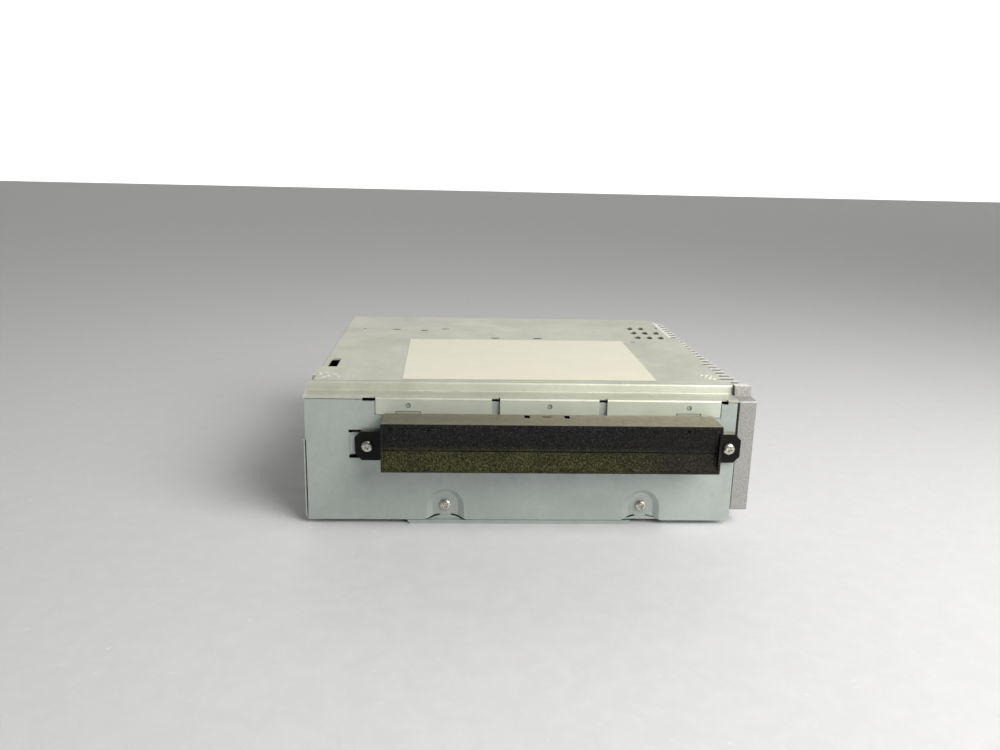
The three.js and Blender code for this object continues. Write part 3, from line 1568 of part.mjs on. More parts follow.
// The slider's front slot swings the roller's carrier, and its ramp lifts the clamp arm's lug.
function modeSlider() {
  const { camPin } = carrier;
  const { low, high, front, rear: rearEnd, travel } = slider;
  const lug = arm.lug;
  const clear = 2 * gap;
  const rampLow = arm.plateZ - gap - filmGap;
  const outline = [
    [front, low],
    [rearEnd, low],
    [rearEnd, high],
    [lug.far + clear, high],
    [lug.far + clear, rampLow - gap],
    [lug.near, rampLow - gap],
    [lug.near - travel, rampLow + camPin.rise - gap],
    [lug.near - travel - clear, rampLow + camPin.rise - gap],
    [lug.near - travel - clear, high],
    [front, high],
  ];
  const body = prism(outline, 'x', ...slider.x);
  const through = [slider.x[0] - overrun, slider.x[1] + overrun];
  const slotZ = grown([slider.studLevel, slider.studLevel], slider.stud + gap);
  const slots = slider.studs.map((at) =>
    block(through, [at - travel - slider.stud - clear, at + slider.stud + clear], slotZ),
  );
  const pinY = carrier.y + camPin.behind;
  const room = camPin.radius + clear;
  const cam = prism(
    [
      [pinY - travel - room, carrier.z + camPin.rise - room],
      [pinY + room, carrier.z - room],
      [pinY + room, carrier.z + room],
      [pinY - travel - room, carrier.z + camPin.rise + room],
    ],
    'x',
    ...through,
  );
  return cut(body, [...slots, cam]);
}

// The deck floats on four dampers and carries the spindle, the pickup's guides and the clamp arm.
function traverseDeck() {
  const { half, right, front, rear: rearEnd, low, top, sledHalf, sheet } = deck;
  const body = block([-half, half], [front, rearEnd], [low, top]);
  const ear = block([half - sheet, right], [-sled.half - sheet, screwDrive.y + 2 * rod.radius], [low, top]);
  const opening = block(sled.opening, [-sledHalf, sledHalf], [low - overrun, top + overrun]);
  const lugZ = [frame.floorTop + rod.lugRoom, low + filmGap];
  const lugs = [rod.lugX, rod.endX].flatMap((x) => [
    block(x, [-rod.y - 2 * rod.radius, -rod.y + 2 * rod.radius], lugZ),
    block(x, [rod.y - 2 * rod.radius, screwDrive.y + 2 * rod.radius], lugZ),
  ]);
  const bores = [
    bar('x', rod.radius + gap, rod.lugX[0] - overrun, right + overrun, [-rod.y, rod.z]),
    bar('x', rod.radius + gap, rod.lugX[0] - overrun, right + overrun, [rod.y, rod.z]),
    bar('x', screwDrive.radius + gap, rod.lugX[0] - overrun, right + overrun, [screwDrive.y, rod.z]),
  ];
  const boss = bar('z', spindle.boss, low - overrun, top + overrun, [0, 0]);
  const ears = [-1, 1].map((s) => {
    const x = sorted(s * (arm.side - 2 * sheet), s * (arm.side - sheet));
    const upright = block(x, grown([arm.y, arm.y], 2 * arm.pin), [low, arm.plateZ - gap]);
    return cut(upright, [bar('x', arm.pin + gap, ...grown(x, overrun), [arm.y, arm.z], pinSteps)]);
  });
  const pinZ = [low - 3 * damper.pin, low + filmGap];
  const pins = damperPlaces.map((at) => bar('z', damper.pin, ...pinZ, at, pinSteps));
  return joined(cut(joined(body, ear, lugs), [opening, boss, ...bores]), ears, pins);
}

function rubberDamper() {
  const [low, high] = [frame.floorTop + gap, deck.low - gap];
  const inner = damper.pin + gap;
  const middle = (low + high) / 2;
  const profile = [
    [0, low],
    [damper.radius, low],
    [damper.waist, middle],
    [damper.radius, high],
    [inner, high],
    [inner, high - 3 * damper.pin],
    [0, high - 3 * damper.pin],
  ];
  return turned(profile, roundSteps);
}

function spindleMotor() {
  const { motor: radius, corner, shaft, shaftTop } = spindle;
  const low = frame.floorTop + spindle.floorRoom;
  const high = deck.low - gap;
  return turned([
    [0, low],
    [radius - corner, low],
    [radius, low + corner],
    [radius, high],
    [shaft, high],
    [shaft, shaftTop],
    [0, shaftTop],
  ]);
}

function turntable() {
  const { radius, low, top, hub, hubTop, neck, bossLow } = platter;
  const inner = spindle.shaft + gap;
  return turned([
    [inner, bossLow],
    [neck, bossLow],
    [neck, low],
    [radius, low],
    [radius, top],
    [hub, top],
    [hub, disc.thickness],
    [neck, hubTop],
    [0, hubTop],
    [0, spindle.shaftTop + gap],
    [inner, spindle.shaftTop + gap],
    [inner, bossLow],
  ]);
}

// The sled, drawn about the lens: a bore on the rear rod, a fork on the front rod, a half nut on the screw
function pickupSled() {
  const { front, rear: back, low, high, turret, turretTop, half } = sled;
  const x = [-back, front];
  const body = block(x, [-half, screwDrive.y + 2 * rod.radius], [low, high]);
  const tower = block([-turret, turret], [-turret, turret], [high - filmGap, turretTop]);
  const through = [x[0] - overrun, x[1] + overrun];
  const bore = bar('x', rod.radius + gap, ...through, [rod.y, rod.z]);
  const forkZ = grown([rod.z, rod.z], rod.radius + gap);
  const fork = block(through, [-half - overrun, -rod.y + rod.radius + gap], forkZ);
  const nutHalf = screwDrive.radius + gap;
  const nutZ = [low - overrun, rod.z + nutHalf];
  const nut = block(through, grown([screwDrive.y, screwDrive.y], nutHalf), nutZ);
  const reliefY = grown([0, 0], rod.y - 2 * rod.radius);
  const relief = block([x[0] - overrun, x[0] + turret / 2], reliefY, [low - overrun, rod.z]);
  return cut(joined(body, tower), [bore, fork, nut, relief]);
}

function guideRod() {
  return bar('x', rod.radius, rod.lugX[0] + gap, rod.endX[1] - gap, [0, 0]);
}

function leadScrew() {
  return bar('x', screwDrive.radius, rod.lugX[0] + gap, rod.endX[1] - gap, [0, 0]);
}

function feedMotor() {
  const face = rod.lugX[0] - gap;
  const barrel = bar('x', screwDrive.motor, face - screwDrive.motorLength, face, [0, 0], canSteps);
  return cut(barrel, [bar('x', screwDrive.radius + gap, face - overrun, face + overrun, [0, 0])]);
}

// The clamp arm, drawn about its pivot at the rear of the deck
function clampArm() {
  const { side, sheet, y, z, plateZ, pin, lug } = arm;
  const { half: crossHalf, tongue, tip, tipReach } = arm.cross;
  const level = [plateZ - z, plateZ - z + sheet];
  const outline = [
    [-side - sheet, -crossHalf],
    [-tongue, -crossHalf],
    [-tip, -y - tipReach],
    [tip, -y - tipReach],
    [tongue, -crossHalf],
    [side + sheet, -crossHalf],
    [side + sheet, crossHalf],
    [-side - sheet, crossHalf],
  ];
  const body = prism(outline, 'z', ...level);
  const reach = block([slider.x[0] + filmGap, -side], [lug.near - y, lug.far - y], level);
  const link = block([-side - sheet, -side + 2 * sheet], [lug.near - y, crossHalf], level);
  const ears = [-1, 1].map((s) => {
    const x = sorted(s * side, s * (side + sheet));
    const pinX = sorted(s * (side - 2 * sheet), s * (side + sheet));
    const ear = block(x, [-2 * pin, 2 * pin], [-2 * pin, level[1]]);
  return joined(ear, bar('x', pin, ...pinX, [0, 0], pinSteps));
  });
  const hole = bar('z', clamp.hole, level[0] - overrun, level[1] + overrun, [0, -y]);
  return cut(joined(body, reach, link, ears), [hole]);
}

function clamper() {
  const { pad, padLow, padTop, neck, cap, capLow, capSheet } = clamp;
  return turned([
    [0, platter.hubTop + gap],
    [platter.neck, platter.hubTop + gap],
    [platter.hub, padLow],
    [pad, padLow],
    [pad, padTop],
    [neck, padTop],
    [neck, capLow],
    [cap, capLow],
    [cap, capLow + capSheet],
    [0, capLow + capSheet],
  ]);
}

// A detection lever, drawn about its stud. The right one has a fork for the left one's pin.
function detectionLever(side) {
  const { sheet, stud, reach, half, link } = lever;
  const { drop, pin, low: pinLow } = lever.feeler;
  const low = side > 0 ? lever.low + sheet + gap : lever.low;
  const level = [low, low + sheet];
  const bend = half / 2;
  const outline = [
    [-side * (lever.x + half), -half],
    [0, -half - bend],
    [side * (reach - half), -drop - half],
    [side * (reach + half), -drop - half],
    [side * (reach + half), -drop + bend],
    [0, half + bend],
    [-side * (lever.x + half), half],
  ];
  const body = prism(outline, 'z', ...level);
  const bore = bar('z', stud + gap, low - overrun, level[1] + overrun, [0, 0]);
  const feeler = bar('z', pin, pinLow, level[0] + filmGap, [side * reach, -drop], pinSteps);
  const end = -side * lever.x;
  if (side < 0) {
    const linkPin = bar('z', link.pin, level[1] - filmGap, level[1] + gap + sheet, [end, 0], pinSteps);
    return joined(cut(body, [bore]), feeler, linkPin);
  }
  const slotX = [end - link.slotHalf, end + link.slotHalf - gap];
  const slot = block(slotX, grown([0, 0], link.half), [low - overrun, level[1] + overrun]);
  return joined(cut(body, [bore, slot]), feeler);
}

// Assembly

const part = new THREE.Group();
const housing = new THREE.Group();
housing.position.set(0, -tray.front - tray.panDepth / 2, -tray.lowest);
part.add(housing);
const mechanism = new THREE.Group();
mechanism.position.set(player.x, player.y, player.z);
housing.add(mechanism);

piece(housing, 'chassis_tray', chassisTray(), zincSteel);
piece(housing, 'front_plate', frontPlate(), zincSteel);
piece(housing, 'top_cover', topCover(), zincSteel);
piece(housing, 'top_label', topLabel(), paper, [label.centre, label.front + label.depth / 2, 0]);
piece(housing, 'rear_plate', rearPlate(), zincSteel);
piece(housing, 'heat_sink', heatSink(), castAluminium);
piece(housing, 'slot_bezel', slotBezel(), blackPlastic);
piece(housing, 'upper_felt', feltLip(1), blackFelt);
piece(housing, 'lower_felt', feltLip(-1), blackFelt);

// Screws point their heads outwards: to the front, to the rear or into the casing on the side wall.
function placeScrew(name, at, turn, length) {
  const mesh = piece(housing, name, panHeadScrew(length), brightScrew, at);
  mesh.rotation.set(...turn);
}
const facing = { front: [Math.PI / 2, 0, 0], rear: [-Math.PI / 2, 0, 0], left: [0, -Math.PI / 2, 0] };
const sides = ['left', 'right'];
sides.forEach((side, i) => {
  const seat = -gap - bezel.earThickness - filmGap;
  placeScrew(`bezel_screw_${side}`, [bezel.screwX[i], seat, bezel.earLevel], facing.front);
  placeScrew(`front_screw_${side}`, [frontScrewX[i], pocket.depth - filmGap, pocket.level], facing.front);
  placeScrew(`rear_screw_${side}`, [rearScrewX[i], tray.rear + filmGap, rear.screwLevel], facing.rear);
});
['front', 'rear'].forEach((end, i) => {
  const [y, z] = sinkScrews[i];
  const inside = tray.right - casing.sheet - filmGap;
  placeScrew(`sink_screw_${end}`, [inside, y, z], facing.left, casing.sheet + gap + sink.wall);
});

piece(housing, 'main_board', mainBoard(), boardGreen);
piece(housing, 'main_connector', mainConnector(), connectorPlastic);
sockets.forEach((x, i) => {
  piece(housing, `antenna_socket_${i + 1}`, antennaSocket(), whitePlastic, [x, 0, 0]);
});
piece(housing, 'power_amplifier', powerAmplifier(), chipPlastic);
piece(housing, 'amplifier_clip', amplifierClip(), tinPlate);
piece(housing, 'tuner_can', tunerCan(), tinPlate);
for (let i = 0; i < capacitor.count; i++) {
  const y = board.y[0] + capacitor.start + i * capacitor.pitch;
  const at = [capacitor.x, y, board.top + gap];
  piece(housing, `filter_capacitor_${i + 1}`, filterCapacitor(), canSleeve, at);
}
const chokeY = can.start - choke.canRoom - choke.radius;
piece(housing, 'choke_coil', chokeCoil(), copper, [capacitor.x + choke.core, chokeY, board.top + gap]);
const processorY = player.y - processor.beforeSpindle;
piece(housing, 'signal_processor', signalProcessor(), chipPlastic, [player.x, processorY, board.top + gap]);
piece(housing, 'ribbon_cable', ribbonCable(), amberFilm);

piece(mechanism, 'player_frame', playerFrame(), zincSteel);
piece(mechanism, 'player_top', playerTop(), zincSteel);
piece(mechanism, 'disc_guide', discGuide(), creamPlastic);
piece(mechanism, 'roller_carrier', rollerCarrier(), zincSteel);
const rubber = piece(mechanism, 'rubber_roller', rubberRoller(), blackRubber, [0, roller.y, roller.z]);
rubber.rotation.y = Math.PI / 2;
piece(mechanism, 'roller_shaft', rollerShaft(), polishedSteel, [0, roller.y, roller.z]);
const rollerGear = gear(gears.rollerTeeth, roller.shaft + filmGap, rollerPhase);
const idlerGear = gear(gears.idlerTeeth, idler.pin + gap, idlerPhase);
const motorPinion = gear(gears.pinionTeeth, motor.shaft + filmGap, pinionPhase);
piece(mechanism, 'roller_gear', rollerGear, whitePlastic, [0, roller.y, roller.z]);
piece(mechanism, 'idler_gear', idlerGear, whitePlastic, [0, idler.y, idler.z]);
piece(mechanism, 'motor_pinion', motorPinion, whitePlastic, [0, motor.y, motor.z]);
piece(mechanism, 'gear_plate', gearPlateSheet(), zincSteel);
piece(mechanism, 'loading_motor', loadingMotor(), tinPlate);
piece(mechanism, 'mode_slider', modeSlider(), creamPlastic);
piece(mechanism, 'traverse_deck', traverseDeck(), zincSteel);
damperPlaces.forEach(([x, y], i) => {
  piece(mechanism, `damper_${i + 1}`, rubberDamper(), blackRubber, [x, y, 0]);
});
piece(mechanism, 'spindle_motor', spindleMotor(), tinPlate);
piece(mechanism, 'turntable', turntable(), connectorPlastic);
piece(mechanism, 'pickup_sled', pickupSled(), connectorPlastic, [sled.lens, 0, 0]);
const lensSolid = bar('z', lens.radius, 0, lens.height, [0, 0]);
piece(mechanism, 'pickup_lens', lensSolid, glass, [sled.lens, 0, sled.turretTop + filmGap]);
piece(mechanism, 'guide_rod_front', guideRod(), polishedSteel, [0, -rod.y, rod.z]);
piece(mechanism, 'guide_rod_rear', guideRod(), polishedSteel, [0, rod.y, rod.z]);
piece(mechanism, 'lead_screw', leadScrew(), polishedSteel, [0, screwDrive.y, rod.z]);
piece(mechanism, 'feed_motor', feedMotor(), tinPlate, [0, screwDrive.y, rod.z]);
piece(mechanism, 'clamp_arm', clampArm(), zincSteel, [0, arm.y, arm.z]);
piece(mechanism, 'clamper', clamper(), creamPlastic);
piece(mechanism, 'detection_lever_left', detectionLever(-1), creamPlastic, [-lever.x, lever.y, 0]);
piece(mechanism, 'detection_lever_right', detectionLever(1), creamPlastic, [lever.x, lever.y, 0]);

export default part;
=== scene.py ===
"""The looks of a slot-in car radio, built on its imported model."""

import json
import math

import bmesh
import bpy
from mathutils import Matrix, Vector, noise

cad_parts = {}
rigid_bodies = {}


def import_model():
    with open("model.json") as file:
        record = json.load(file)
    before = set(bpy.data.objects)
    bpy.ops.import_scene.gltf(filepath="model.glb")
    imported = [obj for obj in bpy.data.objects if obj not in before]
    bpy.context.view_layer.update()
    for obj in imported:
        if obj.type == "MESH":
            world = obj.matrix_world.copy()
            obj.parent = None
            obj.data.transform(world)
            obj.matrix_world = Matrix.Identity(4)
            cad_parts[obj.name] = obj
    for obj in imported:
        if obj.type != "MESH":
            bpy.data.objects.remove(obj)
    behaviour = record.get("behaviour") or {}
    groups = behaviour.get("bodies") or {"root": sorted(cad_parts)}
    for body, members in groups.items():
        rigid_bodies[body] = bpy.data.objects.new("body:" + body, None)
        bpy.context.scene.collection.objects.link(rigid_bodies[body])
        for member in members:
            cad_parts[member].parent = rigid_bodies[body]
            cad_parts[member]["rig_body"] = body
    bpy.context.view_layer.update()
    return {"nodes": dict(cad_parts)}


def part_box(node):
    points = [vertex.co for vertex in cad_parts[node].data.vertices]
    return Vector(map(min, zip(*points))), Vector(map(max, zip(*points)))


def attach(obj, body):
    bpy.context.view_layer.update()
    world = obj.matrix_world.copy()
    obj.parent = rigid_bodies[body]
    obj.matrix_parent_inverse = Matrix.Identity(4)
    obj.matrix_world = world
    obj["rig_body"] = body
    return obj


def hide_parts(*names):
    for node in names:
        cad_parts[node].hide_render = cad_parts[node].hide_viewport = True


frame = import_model()
nodes = frame["nodes"]
MM = 0.001

# Corners of what the small places are measured from, in metres
plate_low, plate_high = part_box("front_plate")
bezel_low, bezel_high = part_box("slot_bezel")
cover_low, cover_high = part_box("top_cover")
upper_felt_low, upper_felt_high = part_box("upper_felt")
sink_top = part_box("heat_sink")[1].z


# Camera
CAMERA_TURNS = (-2.738, 14.636, 1.369)  # yaw, pitch down and roll in degrees
CAMERA_PLACE = (-26.0, -396.5, 153.9)  # mm
SENSOR_WIDTH = 36
LENS = 30.95
NEAREST = 0.01


def add_camera():
    """A camera at the photograph's angle."""
    yaw, pitch, roll = (math.radians(a) for a in CAMERA_TURNS)
    ahead = Vector((-math.sin(yaw) * math.cos(pitch), math.cos(yaw) * math.cos(pitch), -math.sin(pitch)))
    level = Vector((math.cos(yaw), math.sin(yaw), 0))
    above = level.cross(ahead)
    right = math.cos(roll) * level + math.sin(roll) * above
    up = -math.sin(roll) * level + math.cos(roll) * above
    data = bpy.data.cameras.new("camera")
    data.sensor_width = SENSOR_WIDTH
    data.lens = LENS
    data.clip_start = NEAREST
    camera = bpy.data.objects.new("camera", data)
    turn = Matrix((right, up, -ahead)).transposed().to_4x4()
    camera.matrix_world = Matrix.Translation(Vector(CAMERA_PLACE) * MM) @ turn
    bpy.context.scene.collection.objects.link(camera)
    bpy.context.scene.camera = camera


add_camera()


# Materials
class Paint:
    """A procedural material, with short ways to add and join its nodes.
    Positions are the object's own, in metres."""

    def __init__(self, name, **settings):
        self.material = bpy.data.materials.new(name)
        self.material.use_nodes = True
        self.tree = self.material.node_tree
        self.shader = self.tree.nodes["Principled BSDF"]
        self.place = self.tree.nodes.new("ShaderNodeTexCoord").outputs["Object"]
        for key, value in settings.items():
            self.shader.inputs[key.replace("_", " ")].default_value = value

    def node(self, kind, inputs=(), **settings):
        made = self.tree.nodes.new("ShaderNode" + kind)
        for key, value in settings.items():
            setattr(made, key, value)
        for key, value in dict(inputs).items():
            if isinstance(value, bpy.types.NodeSocket):
                self.tree.links.new(value, made.inputs[key])
            else:
                made.inputs[key].default_value = value
        return made

    def join(self, value, socket):
        self.tree.links.new(value, self.shader.inputs[socket])

    def stretched(self, scale):
        return self.node("Mapping", {"Vector": self.place, "Scale": scale}).outputs["Vector"]

    def noise(self, scale, detail=4.0, roughness=0.55, stretch=None, distortion=0.0):
        where = self.stretched(stretch) if stretch else self.place
        inputs = {"Vector": where, "Scale": scale, "Detail": detail}
        inputs.update({"Roughness": roughness, "Distortion": distortion})
        return self.node("TexNoise", inputs).outputs["Fac"]

    def cells(self, scale, output="Distance"):
        return self.node("TexVoronoi", {"Vector": self.place, "Scale": scale}).outputs[output]

    def axis(self, letter):
        return self.node("SeparateXYZ", {"Vector": self.place}).outputs[letter]

    def facing(self, letter):
        normal = self.node("NewGeometry").outputs["Normal"]
        return self.node("SeparateXYZ", {"Vector": normal}).outputs[letter]

    def grey(self, color):
        return self.node("SeparateColor", {"Color": color}).outputs[0]

    def span(self, value, low, high, to_low=0.0, to_high=1.0):
        """A smooth step from to_low to to_high while the value goes from low to high."""
        inputs = {"Value": value, "From Min": low, "From Max": high, "To Min": to_low, "To Max": to_high}
        return self.node("MapRange", inputs, interpolation_type="SMOOTHSTEP").outputs["Result"]

    def math(self, operation, a, b=0.0):
        return self.node("Math", {0: a, 1: b}, operation=operation).outputs[0]

    def mix(self, factor, a, b):
        made = self.node("Mix", {"Factor": factor}, data_type="RGBA")
        for socket, value in ((made.inputs[6], a), (made.inputs[7], b)):
            if isinstance(value, bpy.types.NodeSocket):
                self.tree.links.new(value, socket)
            else:
                socket.default_value = (*value, 1.0)
        return made.outputs[2]

    def bump(self, height, strength, distance, below=None):
        inputs = {"Height": height, "Strength": strength, "Distance": distance}
        if below is not None:
            inputs["Normal"] = below
        return self.node("Bump", inputs).outputs["Normal"]

    def finish(self, color=None, roughness=None, normal=None):
        if color is not None:
            self.join(color, "Base Color")
        if roughness is not None:
            self.join(roughness, "Roughness")
        if normal is not None:
            self.join(normal, "Normal")
        return self.material


def beside(edge, start, end):
    """A range in metres, whose ends are measured in mm from an edge."""
    return edge + start * MM, edge + end * MM


# Where one tone runs over into another
# The painted floor reflection on the cover's tabs fades out above these and behind these
TAB_TOPS = beside(plate_high.z, -0.6, 0.0)
TAB_FACES = beside(plate_low.y, 0.5, 0.9)
SINK_TOPS = beside(sink_top, -3.7, -2.2)
WORN_END = beside(upper_felt_high.x, -47.95, -15.95)
OLIVE_TO_BLACK = beside(upper_felt_low.z, 0.2, 3.0)
RAGGED = 2.4 * MM
# The painted light on the bezel's top grows toward the right along this span
PAINTED_LIGHT_SPAN = (bezel_low.x + 8.65 * MM, bezel_high.x - 6.35 * MM)
# The dust and painted sheen on the bezel fade out below this
DUST_AND_SHEEN_FLOOR = beside(bezel_low.z, 1.8, 3.8)
FLOCKED_FRONT = beside(bezel_low.y, 0.2, 0.7)


def scratches(paint, stretch, low, high):
    """Thin lines along one direction, 1 in a line and 0 between lines."""
    return paint.span(paint.noise(1.0, 2.0, 0.6, stretch), low, high)


def zinc_sheet(name, dark, light, tabs=None):
    """Zinc-plated sheet: soft cloudy patches, a fine mottle, drawn grain, light scratches and smudges.
    The cover's tabs, low down in front, can take a cooler tone of their own, a painted floor reflection like
    the front plate's."""
    p = Paint(name, Metallic=0.55)
    cloud = p.noise(22.0, 5.0, 0.6, distortion=0.6)
    mottle = p.noise(420.0, 3.0, 0.6)
    grain = p.noise(1.0, 4.0, 0.7, (130.0, 1900.0, 1900.0))
    flake = p.grey(p.cells(260.0, output="Color"))
    color = p.mix(p.span(cloud, 0.32, 0.72), dark, light)
    color = p.mix(p.span(mottle, 0.35, 0.68, 0.0, 0.16), color, tuple(0.8 * c for c in dark))
    color = p.mix(p.math("MULTIPLY", flake, 0.09), color, tuple(1.15 * c for c in light))
    if tabs:
        # Painted reflection: the tabs low down in front take a cooler tone, like the front plate
        low_down = p.span(p.axis("Z"), *TAB_TOPS, 0.75, 0.0)
        in_front = p.span(p.axis("Y"), *TAB_FACES, 1.0, 0.0)
        color = p.mix(p.math("MULTIPLY", low_down, in_front), color, tabs)
    lines = scratches(p, (46.0, 2600.0, 2600.0), 0.70, 0.76)
    color = p.mix(p.math("MULTIPLY", lines, 0.35), color, (0.72, 0.72, 0.68))
    smudge = p.noise(55.0, 6.0, 0.65, distortion=1.5)
    rough = p.span(smudge, 0.3, 0.75, 0.46, 0.60)
    rough = p.math("ADD", rough, p.math("MULTIPLY", grain, 0.05))
    normal = p.bump(grain, 0.10, 0.00006)
    normal = p.bump(mottle, 0.12, 0.00005, normal)
    normal = p.bump(p.noise(14.0, 2.0), 0.35, 0.0006, normal)
    return p.finish(color, rough, normal)


def cast_aluminium():
    """A blasted casting: coarse speckle, pores, and edges rubbed brighter."""
    p = Paint("cast_aluminium", Metallic=0.55)
    speck = p.noise(1500.0, 5.0, 0.75)
    grain = p.noise(600.0, 4.0, 0.7)
    pores = p.span(p.cells(900.0), 0.05, 0.22)
    cloud = p.noise(30.0, 4.0)
    color = p.mix(p.span(speck, 0.36, 0.66), (0.27, 0.27, 0.26), (0.50, 0.495, 0.475))
    color = p.mix(p.span(cloud, 0.35, 0.7, 0.0, 0.35), color, (0.48, 0.465, 0.44))
    color = p.mix(p.math("SUBTRACT", 1.0, pores), color, (0.26, 0.26, 0.25))
    rubbed = p.math("MULTIPLY", p.span(p.facing("Z"), 0.3, 0.9), p.span(p.axis("Z"), *SINK_TOPS))
    rubbed = p.math("MULTIPLY", rubbed, p.span(speck, 0.35, 0.55, 0.6, 1.0))
    color = p.mix(rubbed, color, (0.90, 0.89, 0.85))
    rough = p.span(grain, 0.3, 0.7, 0.42, 0.62)
    normal = p.bump(speck, 0.55, 0.00018)
    normal = p.bump(grain, 0.35, 0.0003, normal)
    normal = p.bump(pores, 0.4, 0.0002, normal)
    return p.finish(color, rough, normal)


# Felt tones: dark, light, glint (pale fibre ends with a painted highlight) and the plainer tone at the right
# end
BLACK_TUFT = ((0.002, 0.002, 0.003), (0.015, 0.015, 0.016), (0.095, 0.092, 0.080), (0.019, 0.017, 0.015))
OLIVE_TUFT = ((0.006, 0.006, 0.003), (0.060, 0.060, 0.021), (0.21, 0.21, 0.10), (0.036, 0.033, 0.025))


def tufts(p, dark, light, glint, end_tone):
    """The speckled colour of dense felt, plainer toward its right end, and its relief."""
    mat = p.noise(1500.0, 3.0, 0.8, distortion=0.6)
    fibre = p.noise(1.0, 3.0, 0.7, (5200.0, 1700.0, 2600.0), 2.0)
    # Pale fibre ends, lit with a painted glint
    pale_fibres_and_glints = p.span(p.noise(1900.0, 2.0, 0.9), 0.565, 0.65)
    patch = p.noise(90.0, 3.0)
    worn = p.span(p.axis("X"), *WORN_END)
    light_here = p.mix(worn, light, end_tone)
    glint_here = p.mix(worn, glint, tuple(3.0 * c for c in end_tone))
    color = p.mix(p.span(mat, 0.42, 0.60), dark, light_here)
    color = p.mix(p.span(patch, 0.35, 0.7, 0.0, 0.35), color, dark)
    color = p.mix(p.math("MULTIPLY", pale_fibres_and_glints, 0.6), color, glint_here)
    normal = p.bump(mat, 0.9, 0.0004)
    return color, p.bump(fibre, 0.5, 0.00015, normal)


def felt_tones(p):
    """Black felt above the slot and olive below it, with a ragged change just over the slit."""
    ragged = p.math("MULTIPLY", p.noise(520.0, 3.0, 0.8), RAGGED)
    level = p.math("ADD", p.axis("Z"), ragged)
    olive = p.span(level, *OLIVE_TO_BLACK, 1.0, 0.0)
    upper, normal = tufts(p, *BLACK_TUFT)
    return p.mix(olive, upper, tufts(p, *OLIVE_TUFT)[0]), normal


def black_moulding():
    """Black moulded plastic: faint flow and handling marks, dust and a painted sheen on what faces up,
    growing toward the right as painted light, flock in front.
    """
    p = Paint("black_plastic", IOR=1.4)
    p.shader.inputs["Specular IOR Level"].default_value = 0.25
    flow = p.noise(60.0, 4.0, 0.6, (1.0, 2.2, 1.0), 0.8)
    fine = p.noise(2600.0, 3.0, 0.7)
    specks = p.span(p.noise(1300.0, 2.0, 0.9), 0.66, 0.74)
    lines = scratches(p, (3200.0, 150.0, 900.0), 0.70, 0.77)
    # Dust and a painted sheen on what faces up
    dust_and_sheen = p.span(p.facing("Z"), 0.35, 0.95, 0.0, 0.60)
    patchy = p.span(p.noise(420.0, 4.0, 0.7), 0.3, 0.7, 0.72, 1.0)
    # Painted light: the up-facing tone grows toward the right, where the key light falls
    painted_light_right = p.span(p.axis("X"), *PAINTED_LIGHT_SPAN, 0.85, 1.55)
    not_low = p.span(p.axis("Z"), *DUST_AND_SHEEN_FLOOR)
    for share in (patchy, painted_light_right, not_low):
        dust_and_sheen = p.math("MULTIPLY", dust_and_sheen, share)
    color = p.mix(p.span(flow, 0.3, 0.7), (0.003, 0.003, 0.003), (0.007, 0.0065, 0.006))
    color = p.mix(p.math("MULTIPLY", specks, 0.2), color, (0.08, 0.078, 0.07))
    color = p.mix(p.math("MULTIPLY", lines, 0.12), color, (0.07, 0.07, 0.065))
    # The dust and painted sheen
    color = p.mix(dust_and_sheen, color, (0.345, 0.325, 0.24))
    flock = p.span(p.axis("Y"), *FLOCKED_FRONT, 1.0, 0.0)
    flock = p.math("MULTIPLY", flock, p.span(p.facing("Y"), -0.9, -0.6, 1.0, 0.0))
    color = p.mix(flock, color, felt_tones(p)[0])
    rough = p.span(flow, 0.3, 0.7, 0.28, 0.40)
    rough = p.math("ADD", rough, p.math("MULTIPLY", p.math("MAXIMUM", dust_and_sheen, flock), 0.5))
    normal = p.bump(fine, 0.12, 0.00003)
    normal = p.bump(p.noise(35.0, 2.0), 0.2, 0.0003, normal)
    return p.finish(color, rough, normal)


def felt():
    """Dense felt: matted tufts in two scales with pale fibre ends that carry a painted glint."""
    p = Paint("black_felt", Roughness=0.95, Sheen_Weight=0.10, Sheen_Roughness=0.5)
    p.shader.inputs["Specular IOR Level"].default_value = 0.12
    color, normal = felt_tones(p)
    return p.finish(color, None, normal)


def bright_screw():
    """Bright plated screw steel: turning marks, a little tarnish and wear."""
    p = Paint("screw_steel", Metallic=0.95)
    ring = p.noise(900.0, 3.0, 0.6)
    stain = p.noise(500.0, 4.0, 0.7, distortion=1.0)
    color = p.mix(p.span(stain, 0.35, 0.7), (0.78, 0.77, 0.72), (0.50, 0.48, 0.42))
    rough = p.span(stain, 0.3, 0.7, 0.18, 0.40)
    return p.finish(color, rough, p.bump(ring, 0.2, 0.00005))


def moulded(name, low, high, rough=(0.35, 0.5), scale=1800.0, bump=0.15, **settings):
    """A plain moulding or resin: two close shades, a fine texture and a soft flow."""
    p = Paint(name, **settings)
    flow = p.noise(120.0, 4.0, 0.6, distortion=0.7)
    fine = p.noise(scale, 4.0, 0.7)
    color = p.mix(p.span(flow, 0.3, 0.7), low, high)
    paler = tuple(min(1.0, c * 1.5 + 0.03) for c in high)
    color = p.mix(p.span(fine, 0.62, 0.75, 0.0, 0.3), color, paler)
    normal = p.bump(fine, bump, 0.00006)
    normal = p.bump(flow, 0.15, 0.0003, normal)
    return p.finish(color, p.span(flow, 0.3, 0.7, *rough), normal)


